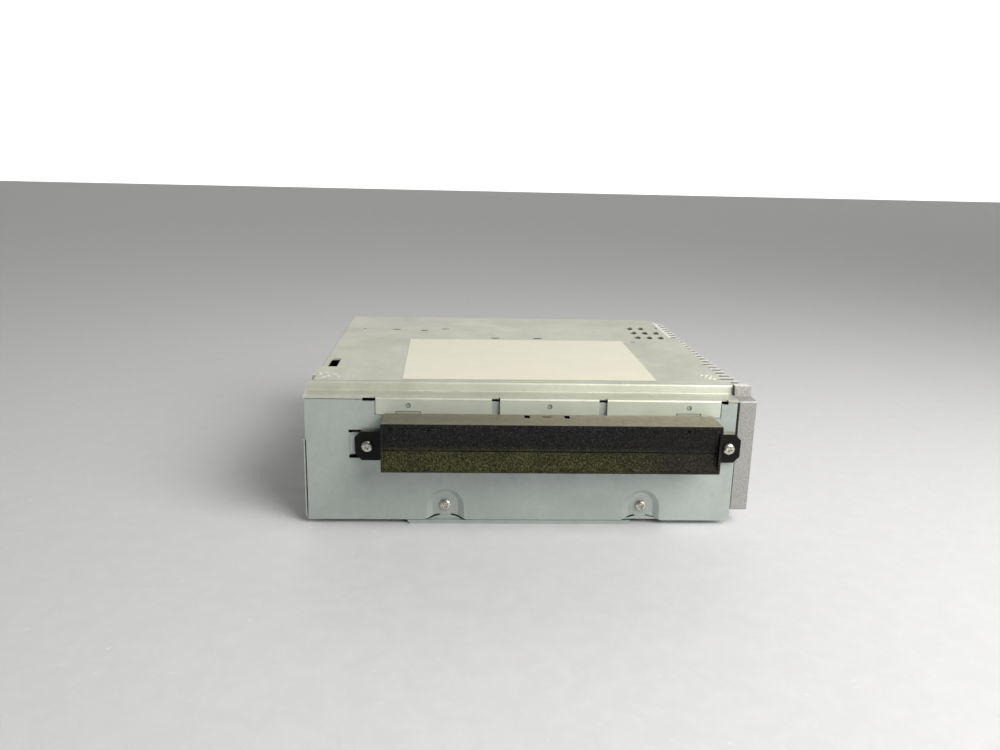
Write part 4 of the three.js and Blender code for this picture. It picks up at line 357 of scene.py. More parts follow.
def solder_board():
    """A green circuit board: copper tracks under the mask, ground areas, vias and tinned pads."""
    p = Paint("board_green")
    weave = p.noise(1.0, 2.0, 0.5, (2600.0, 600.0, 1.0))
    wave = {"Vector": p.place, "Scale": 150.0, "Distortion": 5.0, "Detail": 1.0, "Detail Scale": 0.4}
    tracks = p.node("TexWave", wave, bands_direction="DIAGONAL").outputs["Fac"]
    pour = p.span(p.grey(p.cells(55.0, output="Color")), 0.48, 0.52)
    track = p.math("MAXIMUM", p.span(tracks, 0.55, 0.66), pour)
    color = p.mix(track, (0.012, 0.085, 0.035), (0.035, 0.20, 0.085))
    color = p.mix(p.span(weave, 0.4, 0.7, 0.0, 0.25), color, (0.05, 0.16, 0.08))
    pads = p.span(p.cells(260.0), 0.16, 0.22, 1.0, 0.0)
    color = p.mix(pads, color, (0.62, 0.60, 0.52))
    p.join(p.math("MULTIPLY", pads, 0.8), "Metallic")
    rough = p.span(track, 0.0, 1.0, 0.32, 0.24)
    return p.finish(color, rough, p.bump(track, 0.4, 0.00008))


def wound_copper():
    """Enamelled wire laid turn by turn round a toroid, with varnish over it."""
    p = Paint("copper", Metallic=0.75, Coat_Weight=0.5)
    turns = p.noise(1.0, 2.0, 0.5, (900.0, 900.0, 120.0))
    stain = p.noise(300.0, 4.0)
    color = p.mix(p.span(turns, 0.35, 0.65), (0.24, 0.07, 0.02), (0.62, 0.27, 0.10))
    color = p.mix(p.span(stain, 0.4, 0.7, 0.0, 0.3), color, (0.18, 0.06, 0.03))
    return p.finish(color, p.span(stain, 0.3, 0.7, 0.22, 0.4), p.bump(turns, 0.6, 0.0002))


def sleeve():
    """The plain dark blue shrink sleeve of a capacitor."""
    p = Paint("can_sleeve", Roughness=0.28, Coat_Weight=0.25)
    wrap = p.noise(180.0, 3.0, 0.6, (1.0, 1.0, 0.3))
    color = p.mix(p.span(wrap, 0.3, 0.7), (0.012, 0.020, 0.065), (0.022, 0.035, 0.10))
    fine = p.span(p.noise(2200.0, 2.0), 0.6, 0.75, 0.0, 0.25)
    color = p.mix(fine, color, (0.10, 0.12, 0.2))
    return p.finish(color, None, p.bump(wrap, 0.3, 0.0002))


def flat_film():
    """Amber film cable with its copper tracks showing through."""
    p = Paint("amber_film", Coat_Weight=0.6)
    wave = {"Vector": p.place, "Scale": 320.0, "Distortion": 0.0}
    track = p.span(p.node("TexWave", wave, bands_direction="X").outputs["Fac"], 0.45, 0.6)
    color = p.mix(track, (0.36, 0.15, 0.025), (0.60, 0.27, 0.07))
    cloud = p.noise(200.0, 3.0)
    color = p.mix(p.span(cloud, 0.3, 0.7, 0.0, 0.2), color, (0.25, 0.09, 0.02))
    return p.finish(color, p.span(cloud, 0.3, 0.7, 0.18, 0.32), p.bump(track, 0.4, 0.00006))


def ground_steel():
    """Ground and polished bar: very fine rings round it, oiled in patches."""
    p = Paint("polished_steel", Metallic=1.0)
    rings = p.noise(1.0, 3.0, 0.7, (5200.0, 60.0, 60.0))
    oil = p.noise(260.0, 3.0)
    color = p.mix(p.span(oil, 0.35, 0.7), (0.68, 0.69, 0.70), (0.55, 0.55, 0.55))
    return p.finish(color, p.span(oil, 0.3, 0.7, 0.10, 0.24), p.bump(rings, 0.2, 0.00004))


def lens_coating():
    """A coated lens: violet sheen over clear glass."""
    p = Paint("lens_glass", IOR=1.5, Transmission_Weight=0.7, Coat_Weight=0.8)
    haze = p.noise(700.0, 3.0)
    color = p.mix(p.span(haze, 0.3, 0.7), (0.35, 0.45, 0.72), (0.55, 0.48, 0.75))
    return p.finish(color, p.span(haze, 0.3, 0.7, 0.03, 0.09), p.bump(haze, 0.05, 0.00003))


def tinned():
    """Tin-plated sheet: rolled grain, soft stains and fine scratches."""
    p = Paint("tin_plate", Metallic=0.9)
    grain = p.noise(1.0, 4.0, 0.7, (200.0, 2600.0, 2600.0))
    stain = p.noise(90.0, 5.0, distortion=1.0)
    color = p.mix(p.span(stain, 0.3, 0.7), (0.62, 0.62, 0.60), (0.74, 0.75, 0.75))
    color = p.mix(p.span(grain, 0.4, 0.7, 0.0, 0.25), color, (0.50, 0.50, 0.49))
    return p.finish(color, p.span(stain, 0.3, 0.7, 0.24, 0.42), p.bump(grain, 0.2, 0.00006))


def paper():
    """The cream label's paper: soft fibres, faint curl shading and a few marks."""
    p = Paint("label_paper")
    fibre = p.noise(1.0, 4.0, 0.7, (1800.0, 900.0, 900.0))
    cloud = p.noise(45.0, 4.0, distortion=0.5)
    speck = p.span(p.noise(1500.0, 2.0, 0.9), 0.70, 0.78)
    color = p.mix(p.span(cloud, 0.3, 0.7), (0.71, 0.69, 0.56), (0.77, 0.755, 0.63))
    color = p.mix(p.span(fibre, 0.4, 0.7, 0.0, 0.3), color, (0.68, 0.65, 0.51))
    color = p.mix(p.math("MULTIPLY", speck, 0.5), color, (0.45, 0.42, 0.33))
    return p.finish(color, p.span(cloud, 0.3, 0.7, 0.42, 0.55), p.bump(fibre, 0.3, 0.00004))


CREAM_ZINC = ((0.54, 0.555, 0.475), (0.65, 0.66, 0.575))
materials = {
    "zinc_steel": zinc_sheet("zinc_steel", *CREAM_ZINC),
    "cast_aluminium": cast_aluminium(),
    "black_plastic": black_moulding(),
    "black_felt": felt(),
    "screw_steel": bright_screw(),
    "board_green": solder_board(),
    "connector_plastic": moulded("connector_plastic", (0.018, 0.018, 0.02), (0.035, 0.035, 0.038)),
    "white_plastic": moulded("white_plastic", (0.66, 0.65, 0.60), (0.74, 0.73, 0.69)),
    "tin_plate": tinned(),
    "chip_plastic": moulded(
        "chip_plastic", (0.012, 0.012, 0.014), (0.022, 0.022, 0.024), (0.5, 0.65), 3000.0, 0.3
    ),
    "can_sleeve": sleeve(),
    "copper": wound_copper(),
    "amber_film": flat_film(),
    "black_rubber": moulded(
        "black_rubber", (0.014, 0.014, 0.015), (0.03, 0.03, 0.031), (0.65, 0.85), 1500.0, 0.4
    ),
    "polished_steel": ground_steel(),
    "cream_plastic": moulded("cream_plastic", (0.66, 0.60, 0.44), (0.74, 0.69, 0.53)),
    "lens_glass": lens_coating(),
    "label_paper": paper(),
}
# A darker, cooler copy of the zinc for the front plate, the tray and the strips behind it: a painted
# reflection of a bluish floor
zinc_painted_reflection = zinc_sheet("zinc_painted_reflection", (0.425, 0.465, 0.445), (0.515, 0.56, 0.535))
# The cover, with a painted floor reflection on its tabs
zinc_cover = zinc_sheet("zinc_cover", *CREAM_ZINC, tabs=(0.66, 0.71, 0.63))
# A lighter copy of the zinc for the pressed marks: a painted highlight on their edges
zinc_painted_highlight = zinc_sheet("zinc_painted_highlight", (0.76, 0.77, 0.70), (0.88, 0.89, 0.82))

# The solids wear the same materials as the pieces
for cad in nodes.values():
    name = cad.data.materials[0].name.split(".")[0]
    cad.data.materials[0] = materials[name]


# Pieces
WELD = 2e-6  # metres between corners that are one
FLAT_ANGLE = 0.6  # degrees between faces that are one
EDGE_ANGLE = 32  # degrees at an edge that is rounded
# Widths of the rounded edges in mm
SHEET_EDGE = 0.14
REAR_EDGE = 0.12
CAST_EDGE = 0.22
BEZEL_EDGE = 0.2
# A gap down the plate's left edge, from the plate's lowest corner, in mm
LEFT_GAP = ((0.5, -1.3, 0.6), (1.05, 3.2, 35.2))
SLIT_DEPTH = 1.4


def new_object(name, mesh, material, node=None):
    """A visible piece, on the body of the node that it stands for, or on the housing."""
    piece = bpy.data.objects.new(name, mesh)
    bpy.context.scene.collection.objects.link(piece)
    mesh.materials.clear()
    mesh.materials.append(material)
    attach(piece, nodes[node]["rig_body"] if node else "housing")
    if node:
        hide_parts(node)
    return piece


def apply_modifiers(piece):
    """Turns the piece's modifiers into its mesh."""
    seen = bpy.context.evaluated_depsgraph_get()
    done = bpy.data.meshes.new_from_object(piece.evaluated_get(seen))
    old = piece.data
    piece.modifiers.clear()
    piece.data = done
    bpy.data.meshes.remove(old)


def solid_copy(node):
    """A node's mesh in one connected piece, with its flat faces joined."""
    shape = bmesh.new()
    shape.from_mesh(nodes[node].data)
    bmesh.ops.remove_doubles(shape, verts=shape.verts, dist=WELD)
    flat = math.radians(FLAT_ANGLE)
    bmesh.ops.dissolve_limit(shape, angle_limit=flat, verts=shape.verts, edges=shape.edges)
    return shape


def smooth_mesh(shape, name):
    """The bmesh as a mesh with smooth shading."""
    mesh = bpy.data.meshes.new(name)
    shape.to_mesh(mesh)
    shape.free()
    mesh.polygons.foreach_set("use_smooth", [True] * len(mesh.polygons))
    return mesh


def box_mesh(start, low, high):
    """A closed box between two corners, given in mm from a starting point in metres."""
    xs, ys, zs = ([s + a * MM, s + b * MM] for s, a, b in zip(start, low, high))
    corners = [(x, y, z) for z in zs for y in ys for x in xs]
    sides = [(0, 2, 3, 1), (4, 5, 7, 6), (0, 1, 5, 4), (2, 6, 7, 3), (0, 4, 6, 2), (1, 3, 7, 5)]
    mesh = bpy.data.meshes.new("box")
    mesh.from_pydata(corners, [], sides)
    return mesh


def cut_away(piece, mesh, crosses_itself=False):
    """Cuts a closed mesh out of a piece."""
    cutter = bpy.data.objects.new("cutter", mesh)
    bpy.context.scene.collection.objects.link(cutter)
    cut = piece.modifiers.new("cut", "BOOLEAN")
    cut.object = cutter
    cut.operation = "DIFFERENCE"
    cut.use_self = crosses_itself
    bpy.context.view_layer.update()
    apply_modifiers(piece)
    bpy.data.objects.remove(cutter)


def refined(node, slot, width, cuts=(), material=None):
    """Stands for a node with the same shape, less the cuts, its edges softly rounded by a width in mm."""
    mesh = smooth_mesh(solid_copy(node), node + "_shape")
    piece = new_object(node + "_look", mesh, material or materials[slot], node)
    for cutter in cuts:
        cut_away(piece, cutter)
    bevel = piece.modifiers.new("soft edges", "BEVEL")
    bevel.width = width * MM
    bevel.segments = 2
    bevel.limit_method = "ANGLE"
    bevel.angle_limit = math.radians(EDGE_ANGLE)
    bevel.use_clamp_overlap = True
    even = piece.modifiers.new("even shading", "WEIGHTED_NORMAL")
    even.mode = "FACE_AREA"
    even.weight = 100
    even.keep_sharp = True
    return piece


def lens_mesh(centre, long, wide, deep, sides=20):
    """An upright prism with a lens-shaped outline, as deep below its centre as above. Sizes in mm."""
    outline = []
    for i in range(sides):
        a = 2 * math.pi * i / sides
        outline.append((centre[0] + 0.5 * long * math.cos(a), centre[1] + 0.5 * wide * math.sin(a) ** 3))
    points = [(x * MM, y * MM, (centre[2] + z) * MM) for z in (-deep, deep) for x, y in outline]
    faces = [tuple(range(sides))[::-1], tuple(range(sides, 2 * sides))]
    faces += [(i, (i + 1) % sides, sides + (i + 1) % sides, sides + i) for i in range(sides)]
    mesh = bpy.data.meshes.new("lens")
    mesh.from_pydata(points, [], faces)
    return mesh


cover_front = cover_low.y / MM
cover_top = cover_high.z / MM
# Pierced slits in the cover, in mm: x, y behind the front, length and width
slits = [
    (-60.4, 117.0, 3.6, 1.8), (-45.5, 115.0, 4.8, 2.8), (-34.5, 119.0, 3.4, 1.8), (-8.3, 98.0, 5.2, 2.8),
    (13.4, 98.8, 5.6, 2.8), (62.5, 92.6, 3.8, 1.6), (-77.4, 117.7, 1.7, 2.0),
]
cuts = [lens_mesh((x, cover_front + y, cover_top), *size, SLIT_DEPTH) for x, y, *size in slits]
refined("top_cover", "zinc_steel", SHEET_EDGE, cuts, zinc_cover)
refined("front_plate", "zinc_steel", SHEET_EDGE, [box_mesh(plate_low, *LEFT_GAP)], zinc_painted_reflection)
refined("chassis_tray", "zinc_steel", SHEET_EDGE, material=zinc_painted_reflection)
refined("rear_plate", "zinc_steel", REAR_EDGE)
refined("heat_sink", "cast_aluminium", CAST_EDGE)
bezel = refined("slot_bezel", "black_plastic", BEZEL_EDGE)


def raise_brow(piece, ears=1.0, band=0.45, rise=0.5):
    """Lifts the top of the bezel's front edge, less and less toward its ears. Sizes in mm."""
    back = bezel_high.y - ears * MM
    for v in piece.data.vertices:
        if v.co.z > bezel_high.z - band * MM:
            forward = (back - v.co.y) / (back - bezel_low.y)
            v.co.z += rise * MM * max(0.0, forward)


raise_brow(bezel)


# Screws
# In mm, and degrees at an edge that is left sharp
SCREW_CREASE = 35
HEAD_HEIGHT = 1.6
TIP_RADIUS = 0.7
THREAD_END = -0.6
THREAD_STEP = 0.5
ROOT_RADIUS = 1.05
CREST_RADIUS = 1.29
# The head's outline, (radius, height) in mm from its underside
HEAD = [(1.2, -0.15), (1.2, 0.0), (2.38, 0.0), (2.48, 0.08), (2.5, 0.3), (2.46, 0.6), (2.3, 0.95)]
HEAD += [(2.0, 1.25), (1.55, 1.45), (1.0, 1.55), (0.45, 1.59), (0.0, HEAD_HEIGHT)]
# The cross: half length, half width and height of its foot and of its mouth
RECESS = [(0.85, 0.28, 0.65), (1.5, 0.46, 2.2)]


def lathe(profile, sides=40):
    """A solid of revolution about +Z from (radius, height) points in mm, first and last on the axis."""
    shape = bmesh.new()
    rings = []
    turn = [2 * math.pi * i / sides for i in range(sides)]
    for radius, height in profile:
        r, z = radius * MM, height * MM
        ring = [(r * math.cos(a), r * math.sin(a), z) for a in turn] if radius else [(0, 0, z)]
        rings.append([shape.verts.new(point) for point in ring])
    for lower, upper in zip(rings, rings[1:]):
        for i in range(sides):
            j = (i + 1) % sides
            corners = [lower[k % len(lower)] for k in (i, j)] + [upper[k % len(upper)] for k in (j, i)]
            shape.faces.new(list(dict.fromkeys(corners)))
    bmesh.ops.recalc_face_normals(shape, faces=shape.faces)
    return smooth_mesh(shape, "lathe")


def cross_recess():
    """A tapered cross, wider at its top, to cut a screw head with."""
    shape = bmesh.new()
    for turn in (0, math.pi / 2):
        rings = []
        for a, b, height in RECESS:
            ring = [(-a, -b), (a, -b), (a, b), (-a, b)]
            spun = [Matrix.Rotation(turn, 3, "Z") @ Vector((x * MM, y * MM, height * MM)) for x, y in ring]
            rings.append([shape.verts.new(v) for v in spun])
        shape.faces.new(rings[0][::-1])
        shape.faces.new(rings[1])
        for i in range(4):
            j = (i + 1) % 4
            shape.faces.new((rings[0][i], rings[0][j], rings[1][j], rings[1][i]))
    bmesh.ops.recalc_face_normals(shape, faces=shape.faces)
    return smooth_mesh(shape, "recess")


def screw_mesh(length):
    """A screw along +Z, its head's underside at the origin: threaded shank, domed head, cross recess."""
    outline = [(0.0, -length), (TIP_RADIUS, -length)]
    height = -length + THREAD_STEP
    while height < THREAD_END:
        outline += [(ROOT_RADIUS, height), (CREST_RADIUS, height + THREAD_STEP / 2)]
        height += THREAD_STEP
    body = bpy.data.objects.new("screw", lathe(outline + HEAD))
    bpy.context.scene.collection.objects.link(body)
    cut_away(body, cross_recess(), crosses_itself=True)
    mesh = body.data
    bpy.data.objects.remove(body)
    return mesh


facings = {
    "front": Matrix.Rotation(math.radians(90), 4, "X"),
    "rear": Matrix.Rotation(math.radians(-90), 4, "X"),
    "left": Matrix.Rotation(math.radians(-90), 4, "Y"),
}


def place_screw(node, facing, turn):
    """A detailed screw in the place of a node, its cross turned by some degrees."""
    low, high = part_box(node)
    mesh = screw_mesh(max(high - low) / MM - HEAD_HEIGHT)
    spun = facings[facing] @ Matrix.Rotation(math.radians(turn), 4, "Z")
    seat = (low + high) / 2
    if facing == "front":
        seat.y = low.y + HEAD_HEIGHT * MM
    elif facing == "rear":
        seat.y = high.y - HEAD_HEIGHT * MM
    else:
        seat.x = low.x + HEAD_HEIGHT * MM
    mesh.transform(Matrix.Translation(seat) @ spun)
    piece = new_object(node + "_look", mesh, materials["screw_steel"], node)
    mesh.set_sharp_from_angle(angle=math.radians(SCREW_CREASE))


for node, facing, turn in (
    ("bezel_screw_left", "front", 22), ("bezel_screw_right", "front", -14),
    ("front_screw_left", "front", 38), ("front_screw_right", "front", 8),
    ("rear_screw_left", "rear", 30), ("rear_screw_right", "rear", -25),
    ("sink_screw_front", "left", 15), ("sink_screw_rear", "left", 60),
):
    place_screw(node, facing, turn)


# Felt lips
# Sizes in mm
FELT_GRID = 0.42
FELT_TRIM = 0.10  # off every face, to make room for the next two
FELT_LUMPS = 0.10
FELT_WAVES = 0.08
FELT_SKIN = 0.6  # depth of the front layer that is shaped
LIP_REACH = 4.2  # how far from the slit the lip curves in
LIP_DEPTH = 1.5
LIP_FADE = 24  # length over which the curve dies out toward each end
PIT_DEPTH = 1.15
MEETING_REACH = 2.6  # how far from the slit the lip swells toward the other
MEETING_SWELL = 0.78
MIDDLE_GAP = 0.10
GAP_MIDDLE = -2  # from the middle of the lips
GAP_HALF = 60
# Over the bezel's rim
FELT_FORWARD = 0.22
FELT_SIDEWAYS = 0.92
FELT_UPWARD = 1.20
FELT_DOWNWARD = 0.85


def dent(x, z, spots):
    """How deep a point in the front face lies in the nearest of some small oval pits, from 0 to 1.
    The point is given in metres from the middle of the lip's edge at the slit."""
    deepest = 0.0
    for across, level, half_width, half_height in spots:
        out = math.hypot((x / MM - across) / half_width, (z / MM - level) / half_height)
        deepest = max(deepest, 1.0 - min(1.0, out) ** 3)
    return deepest


def felt_lip(node, seed, toward, spots):
    """A felt strip with matted, uneven faces and a few pits, spread over the bezel's rim.
    It curves in toward the slit and swells toward the other lip."""
    shape = solid_copy(node)
    mesh = bpy.data.meshes.new(node + "_felt")
    bmesh.ops.triangulate(shape, faces=shape.faces)
    shape.to_mesh(mesh)
    shape.free()
    piece = new_object(node + "_look", mesh, materials["black_felt"], node)
    remesh = piece.modifiers.new("even", "REMESH")
    remesh.mode = "VOXEL"
    remesh.voxel_size = FELT_GRID * MM
    apply_modifiers(piece)
    low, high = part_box(node)
    slit = high.z if toward > 0 else low.z
    middle = (low.x + high.x) / 2
    rim_cover = ((0, 1, FELT_SIDEWAYS), (2, -toward, FELT_DOWNWARD if toward > 0 else FELT_UPWARD))
    for v in piece.data.vertices:
        lumps = noise.fractal(v.co * 900 + Vector((seed, 0, 0)), 0.7, 2.0, 3) * FELT_LUMPS * MM
        waves = noise.noise(v.co * 60 + Vector((0, seed, 0))) * FELT_WAVES * MM
        x, z = v.co.x, v.co.z
        front = max(0.0, 1.0 - (v.co.y - low.y) / (FELT_SKIN * MM))
        near = max(0.0, 1.0 - abs(z - slit) / (MEETING_REACH * MM))
        lip = max(0.0, 1.0 - abs(z - slit) / (LIP_REACH * MM)) ** 2
        lip *= min(1.0, max(0.0, min(x - low.x, high.x - x) / (LIP_FADE * MM)))
        v.co += v.normal * (lumps + waves - FELT_TRIM * MM)
        v.co.y += front * (LIP_DEPTH * lip + PIT_DEPTH * dent(x - middle, z - slit, spots)) * MM
        for i in range(3):
            v.co[i] = min(max(v.co[i], low[i]), high[i])
        v.co.y -= FELT_FORWARD * MM * min(1.0, 2.0 * front)
        for i, far_end, room in rim_cover:
            for end, edge in ((-1, low[i]), (1, high[i])):
                if i == 0 or end == far_end:
                    v.co[i] += end * room * MM * max(0.0, 1.0 - abs(v.co[i] - edge) / MM)
        along_slit = abs(x - middle - GAP_MIDDLE * MM) / (GAP_HALF * MM)
        swell = MEETING_SWELL - MIDDLE_GAP * max(0.0, 1.0 - along_slit**2)
        v.co.z += toward * swell * MM * near * near * (3 - 2 * near)
    piece.data.polygons.foreach_set("use_smooth", [True] * len(piece.data.polygons))


# Pits in the felt, in mm: place along and above the slit, from its middle, half width and half height
upper_pits = [
    (-64.6, 8.2, 1.1, 0.8), (-49.4, 8.5, 1.1, 0.7), (40.0, 8.5, 1.0, 0.6), (54.0, 8.5, 1.0, 0.6),
]
lower_pits = [
    (-65.6, -3.9, 0.9, 0.8), (64.4, -2.0, 0.9, 0.6), (65.8, -5.2, 0.8, 0.6), (2.8, -4.1, 0.9, 0.6),
]
felt_lip("upper_felt", 3.0, -1, upper_pits)
felt_lip("lower_felt", 11.0, 1, lower_pits)


# Label
LABEL_GRID = (72, 54)
LABEL_CREASE = 40  # degrees
LABEL_WAVE = 0.05  # mm
LABEL_CURL = 0.06  # mm at the rim
# The under and the upper face: level over the cover in mm, and share of the lift
LABEL_FACES = ((0.005, 0.6), (0.06, 0.8))


def add_label():
    """A bare paper label on the top, very slightly wavy, its rim lifting here and there."""
    low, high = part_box("top_label")
    points = [v.co.copy() for v in nodes["top_label"].data.vertices]
    ways = ((-1, -1), (1, -1), (1, 1), (-1, 1))
    farthest = [max(points, key=lambda c: a * c.x + b * c.y) for a, b in ways]
    front_left, front_right, back_right, back_left = farthest
    columns, rows = LABEL_GRID
    shape = bmesh.new()
    sheets = []
    for base, share in LABEL_FACES:
        grid = []
        for i in range(columns + 1):
            u = i / columns
            line = []
            for j in range(rows + 1):
                v = j / rows
                point = front_left.lerp(front_right, u).lerp(back_left.lerp(back_right, u), v)
                rim = max(abs(2 * u - 1), abs(2 * v - 1)) ** 14
                wave = 0.5 + 0.5 * noise.noise(point * 70)
                curl = 0.5 + 0.5 * noise.noise(point * 160 + Vector((3, 0, 0)))
                lift = LABEL_WAVE * wave + LABEL_CURL * rim * curl
                level = low.z + (base + share * lift) * MM
                line.append(shape.verts.new((point.x, point.y, min(level, high.z))))
            grid.append(line)
        sheets.append(grid)
    for side, grid in enumerate(sheets):
        for i in range(columns):
            for j in range(rows):
                face = (grid[i][j], grid[i + 1][j], grid[i + 1][j + 1], grid[i][j + 1])
                shape.faces.new(face if side else face[::-1])
    under, over = sheets
    rim_path = [(i, 0) for i in range(columns)] + [(columns, j) for j in range(rows)]
    rim_path += [(i, rows) for i in range(columns, 0, -1)] + [(0, j) for j in range(rows, 0, -1)]
    for (a, b), (c, d) in zip(rim_path, rim_path[1:] + rim_path[:1]):
        shape.faces.new((under[a][b], under[c][d], over[c][d], over[a][b]))
    mesh = smooth_mesh(shape, "label")
    piece = new_object("top_label_look", mesh, materials["label_paper"], "top_label")
    mesh.set_sharp_from_angle(angle=math.radians(LABEL_CREASE))


add_label()


# Pressed marks on the cover
def pressed_marks(marks, rings=6, sides=18, sunk=0.03):
    """Low rounded bumps pressed up in the cover's top, their feet sunk a little in it."""
    shape = bmesh.new()
    for x, y, long, wide, rise, turn in marks:
        spin = Matrix.Rotation(math.radians(turn), 3, "Z")
        centre = Vector((x * MM, cover_low.y + y * MM, cover_high.z))
        levels = []
        for r in range(rings):
            out = math.cos(0.5 * math.pi * r / rings)
            up = 0.5 - 0.5 * math.cos(math.pi * r / rings)
            loop = []
            for i in range(sides):
                a = 2 * math.pi * i / sides
                point = Vector((long * out * math.cos(a), wide * out * math.sin(a), rise * up - sunk)) * MM
                loop.append(shape.verts.new(centre + spin @ point))
            levels.append(loop)
        for under, over in zip(levels, levels[1:]):
            for i in range(sides):
                j = (i + 1) % sides
                shape.faces.new((under[i], under[j], over[j], over[i]))
        shape.faces.new(levels[0][::-1])
        shape.faces.new(levels[-1])
    # The marks wear the lighter zinc, a painted highlight
    piece = new_object("cover_marks", smooth_mesh(shape, "marks"), zinc_painted_highlight)


# x, y behind the front, half length, half width and height in mm, and turn in degrees
left_marks = [
    (-86.0, 21.2, 1.3, 1.0, 0.50, 20), (-83.8, 22.2, 2.0, 1.1, 0.45, -15), (-84.2, 15.6, 1.8, 1.0, 0.50, 10),
    (-82.0, 17.4, 1.4, 0.8, 0.40, 45), (-80.2, 20.4, 2.2, 0.9, 0.38, 12), (-78.4, 16.9, 1.7, 0.8, 0.34, -20),
]
right_marks = [
    (80.4, 26.2, 1.0, 0.8, 0.40, 0), (82.4, 25.4, 1.1, 0.8, 0.40, 30), (84.2, 24.4, 0.9, 0.7, 0.36, 60),
    (81.2, 23.3, 1.0, 0.8, 0.40, -30), (83.2, 22.5, 1.0, 0.8, 0.36, 0), (84.6, 20.9, 0.9, 0.7, 0.36, 40),
    (82.4, 20.5, 1.1, 0.7, 0.36, 10), (83.9, 18.7, 1.2, 0.7, 0.36, 0),
]
pressed_marks(left_marks + right_marks)


# Small things behind openings
def join_meshes(meshes, name):
    """One mesh out of several."""
    shape = bmesh.new()
    for mesh in meshes:
        shape.from_mesh(mesh)
        bpy.data.meshes.remove(mesh)
    whole = bpy.data.meshes.new(name)
    shape.to_mesh(whole)
    shape.free()
    return whole


# All in mm. The strips behind the mouths: back from the plate's front, and up from its lower edge
STRIP_FACES = (1.3, 1.7)
STRIP_HALF = 8.2
STRIP_STEP = 0.25
STRIP_SHOULDER = [(4.4, 1.0), (2.4, 1.45)]
MOUTH_FEET = {"left": -1.0, "right": 0.1}
# The ear's strip, from the bezel's lowest corner carried back to the plate's front
EAR_STRIP = ((-2.35, -0.35, 2.5), (-0.3, 0.2, 10.0))
EAR_STRIP_ROUNDING = 0.25
# Black plugs sunk in the cover's slits: painted shade inside them
SHADE_PLUG_DROP = 0.48
SHADE_PLUG_HALF = 0.26
# A shade plug's length and width, as shares of its slit's
SHADE_PLUG_SHARES = (0.96, 0.94)


def strip_behind_mouth(x, foot):
    """Steel behind an arched mouth in the plate's lower edge, about x in metres, from a foot to the arch."""
    half = [(STRIP_HALF, foot), (STRIP_HALF, foot + STRIP_STEP)] + STRIP_SHOULDER
    outline = half + [(-a, b) for a, b in reversed(half)]
    front, edge = plate_low.y, plate_low.z
    points = [(x + a * MM, front + y * MM, edge + b * MM) for y in STRIP_FACES for a, b in outline]
    count = len(outline)
    faces = [tuple(range(count)), tuple(range(count, 2 * count))[::-1]]
    faces += [(i, count + i, count + (i + 1) % count, (i + 1) % count) for i in range(count)]
    mesh = bpy.data.meshes.new("mouth")
    mesh.from_pydata(points, [], faces)
    return mesh


ear_corner = (bezel_low.x, plate_low.y, bezel_low.z)
ear_strip = new_object("ear_strip", box_mesh(ear_corner, *EAR_STRIP), zinc_painted_reflection)
rounding = ear_strip.modifiers.new("edges", "BEVEL")
rounding.width = EAR_STRIP_ROUNDING * MM
rounding.segments = 3
apply_modifiers(ear_strip)
strips = []
for side, foot in MOUTH_FEET.items():
    low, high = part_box("front_screw_" + side)
    strips.append(strip_behind_mouth((low.x + high.x) / 2, foot))
mouth_strips = new_object("mouth_strips", join_meshes(strips, "mouth_strips"), zinc_painted_reflection)
# Painted shade: a black plug sunk in each slit makes it look dark inside
shade_plugs = []
for x, y, *size in slits:
    centre = (x, cover_front + y, cover_top - SHADE_PLUG_DROP)
    long, wide = (share * value for share, value in zip(SHADE_PLUG_SHARES, size))
    shade_plugs.append(lens_mesh(centre, long, wide, SHADE_PLUG_HALF))
slit_shade_plugs = new_object("slit_shade_plugs", join_meshes(shade_plugs, "slit_shade_plugs"), materials["black_rubber"])


# Floor and light
FLOOR_HALF = 3.0  # metres
ROOM_COLOR = (0.87, 0.865, 0.83, 1)
ROOM_LIGHT = 0.14
BACK_GLOW = 1.36
GLOW_WAY = (0.20, 0.98, 0.0)
GLOW_SIDES = (0.25, 0.80)
GLOW_TOP = (0.75, 0.40)
AIM = (0, -0.03, 0.03)
# name: place and size in metres, power in watts, spread in degrees, colour
LIGHTS = {
    "key": ((0.46, -0.45, 0.52), 0.62, 4.3, 120, (1.0, 0.985, 0.94)),
    "fill": ((-0.95, -0.85, 0.55), 1.0, 0.3, 180, (0.93, 0.97, 1.0)),
}


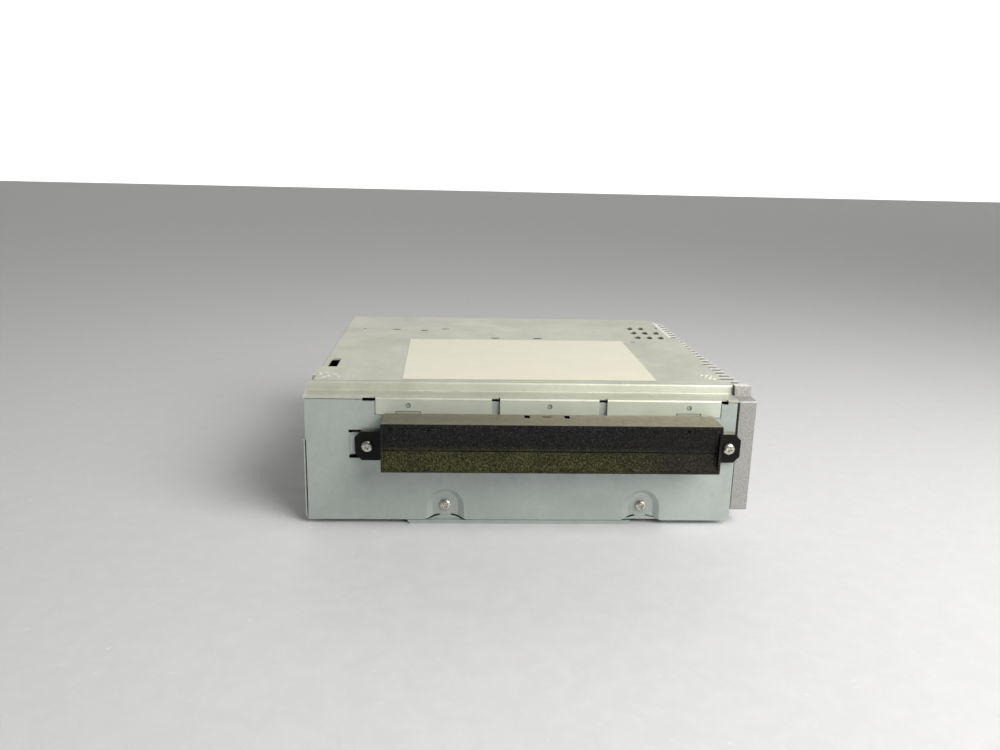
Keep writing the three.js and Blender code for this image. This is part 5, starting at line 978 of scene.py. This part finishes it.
def add_floor():
    """A plain pale floor."""
    h = FLOOR_HALF
    mesh = bpy.data.meshes.new("floor")
    mesh.from_pydata([(-h, -h, 0), (h, -h, 0), (h, h, 0), (-h, h, 0)], [], [(0, 1, 2, 3)])
    floor = bpy.data.objects.new("floor", mesh)
    bpy.context.scene.collection.objects.link(floor)
    mesh.materials.append(
        moulded("floor_paint", (0.68, 0.685, 0.71), (0.71, 0.715, 0.74), (0.5, 0.6), 300.0, 0.05)
    )


def add_room():
    """A dim, even room with a soft glow low down behind."""
    world = bpy.data.worlds.new("room")
    world.use_nodes = True
    tree = world.node_tree
    sky = tree.nodes["Background"]
    sky.inputs["Color"].default_value = ROOM_COLOR

    def node(kind, **settings):
        made = tree.nodes.new("ShaderNode" + kind)
        for key, value in settings.items():
            setattr(made, key, value)
        return made

    def smooth(source, *ends):
        made = node("MapRange", interpolation_type="SMOOTHSTEP")
        tree.links.new(source, made.inputs["Value"])
        for socket, value in zip(("From Min", "From Max", "To Min", "To Max"), ends):
            made.inputs[socket].default_value = value
        return made.outputs["Result"]

    way = node("TexCoord").outputs["Generated"]
    aside = node("VectorMath", operation="DOT_PRODUCT")
    aside.inputs[1].default_value = GLOW_WAY
    split = node("SeparateXYZ")
    tree.links.new(way, aside.inputs[0])
    tree.links.new(way, split.inputs[0])
    glow = node("Math", operation="MULTIPLY")
    tree.links.new(smooth(aside.outputs["Value"], *GLOW_SIDES, 0.0, BACK_GLOW), glow.inputs[0])
    tree.links.new(smooth(split.outputs["Z"], *GLOW_TOP, 0.0, 1.0), glow.inputs[1])
    total = node("Math", operation="ADD")
    tree.links.new(glow.outputs[0], total.inputs[0])
    total.inputs[1].default_value = ROOM_LIGHT
    tree.links.new(total.outputs[0], sky.inputs["Strength"])
    bpy.context.scene.world = world


def add_lights():
    """A soft key light from the front right and a weak fill from the left."""
    for name, (place, size, power, spread, tint) in LIGHTS.items():
        data = bpy.data.lights.new(name, "AREA")
        data.size = size
        data.energy = power
        data.color = tint
        data.spread = math.radians(spread)
        light = bpy.data.objects.new(name, data)
        light.location = place
        light.rotation_euler = (Vector(AIM) - Vector(place)).to_track_quat("-Z", "Y").to_euler()
        bpy.context.scene.collection.objects.link(light)


add_floor()
add_room()
add_lights()
bpy.context.scene.view_settings.view_transform = "Standard"
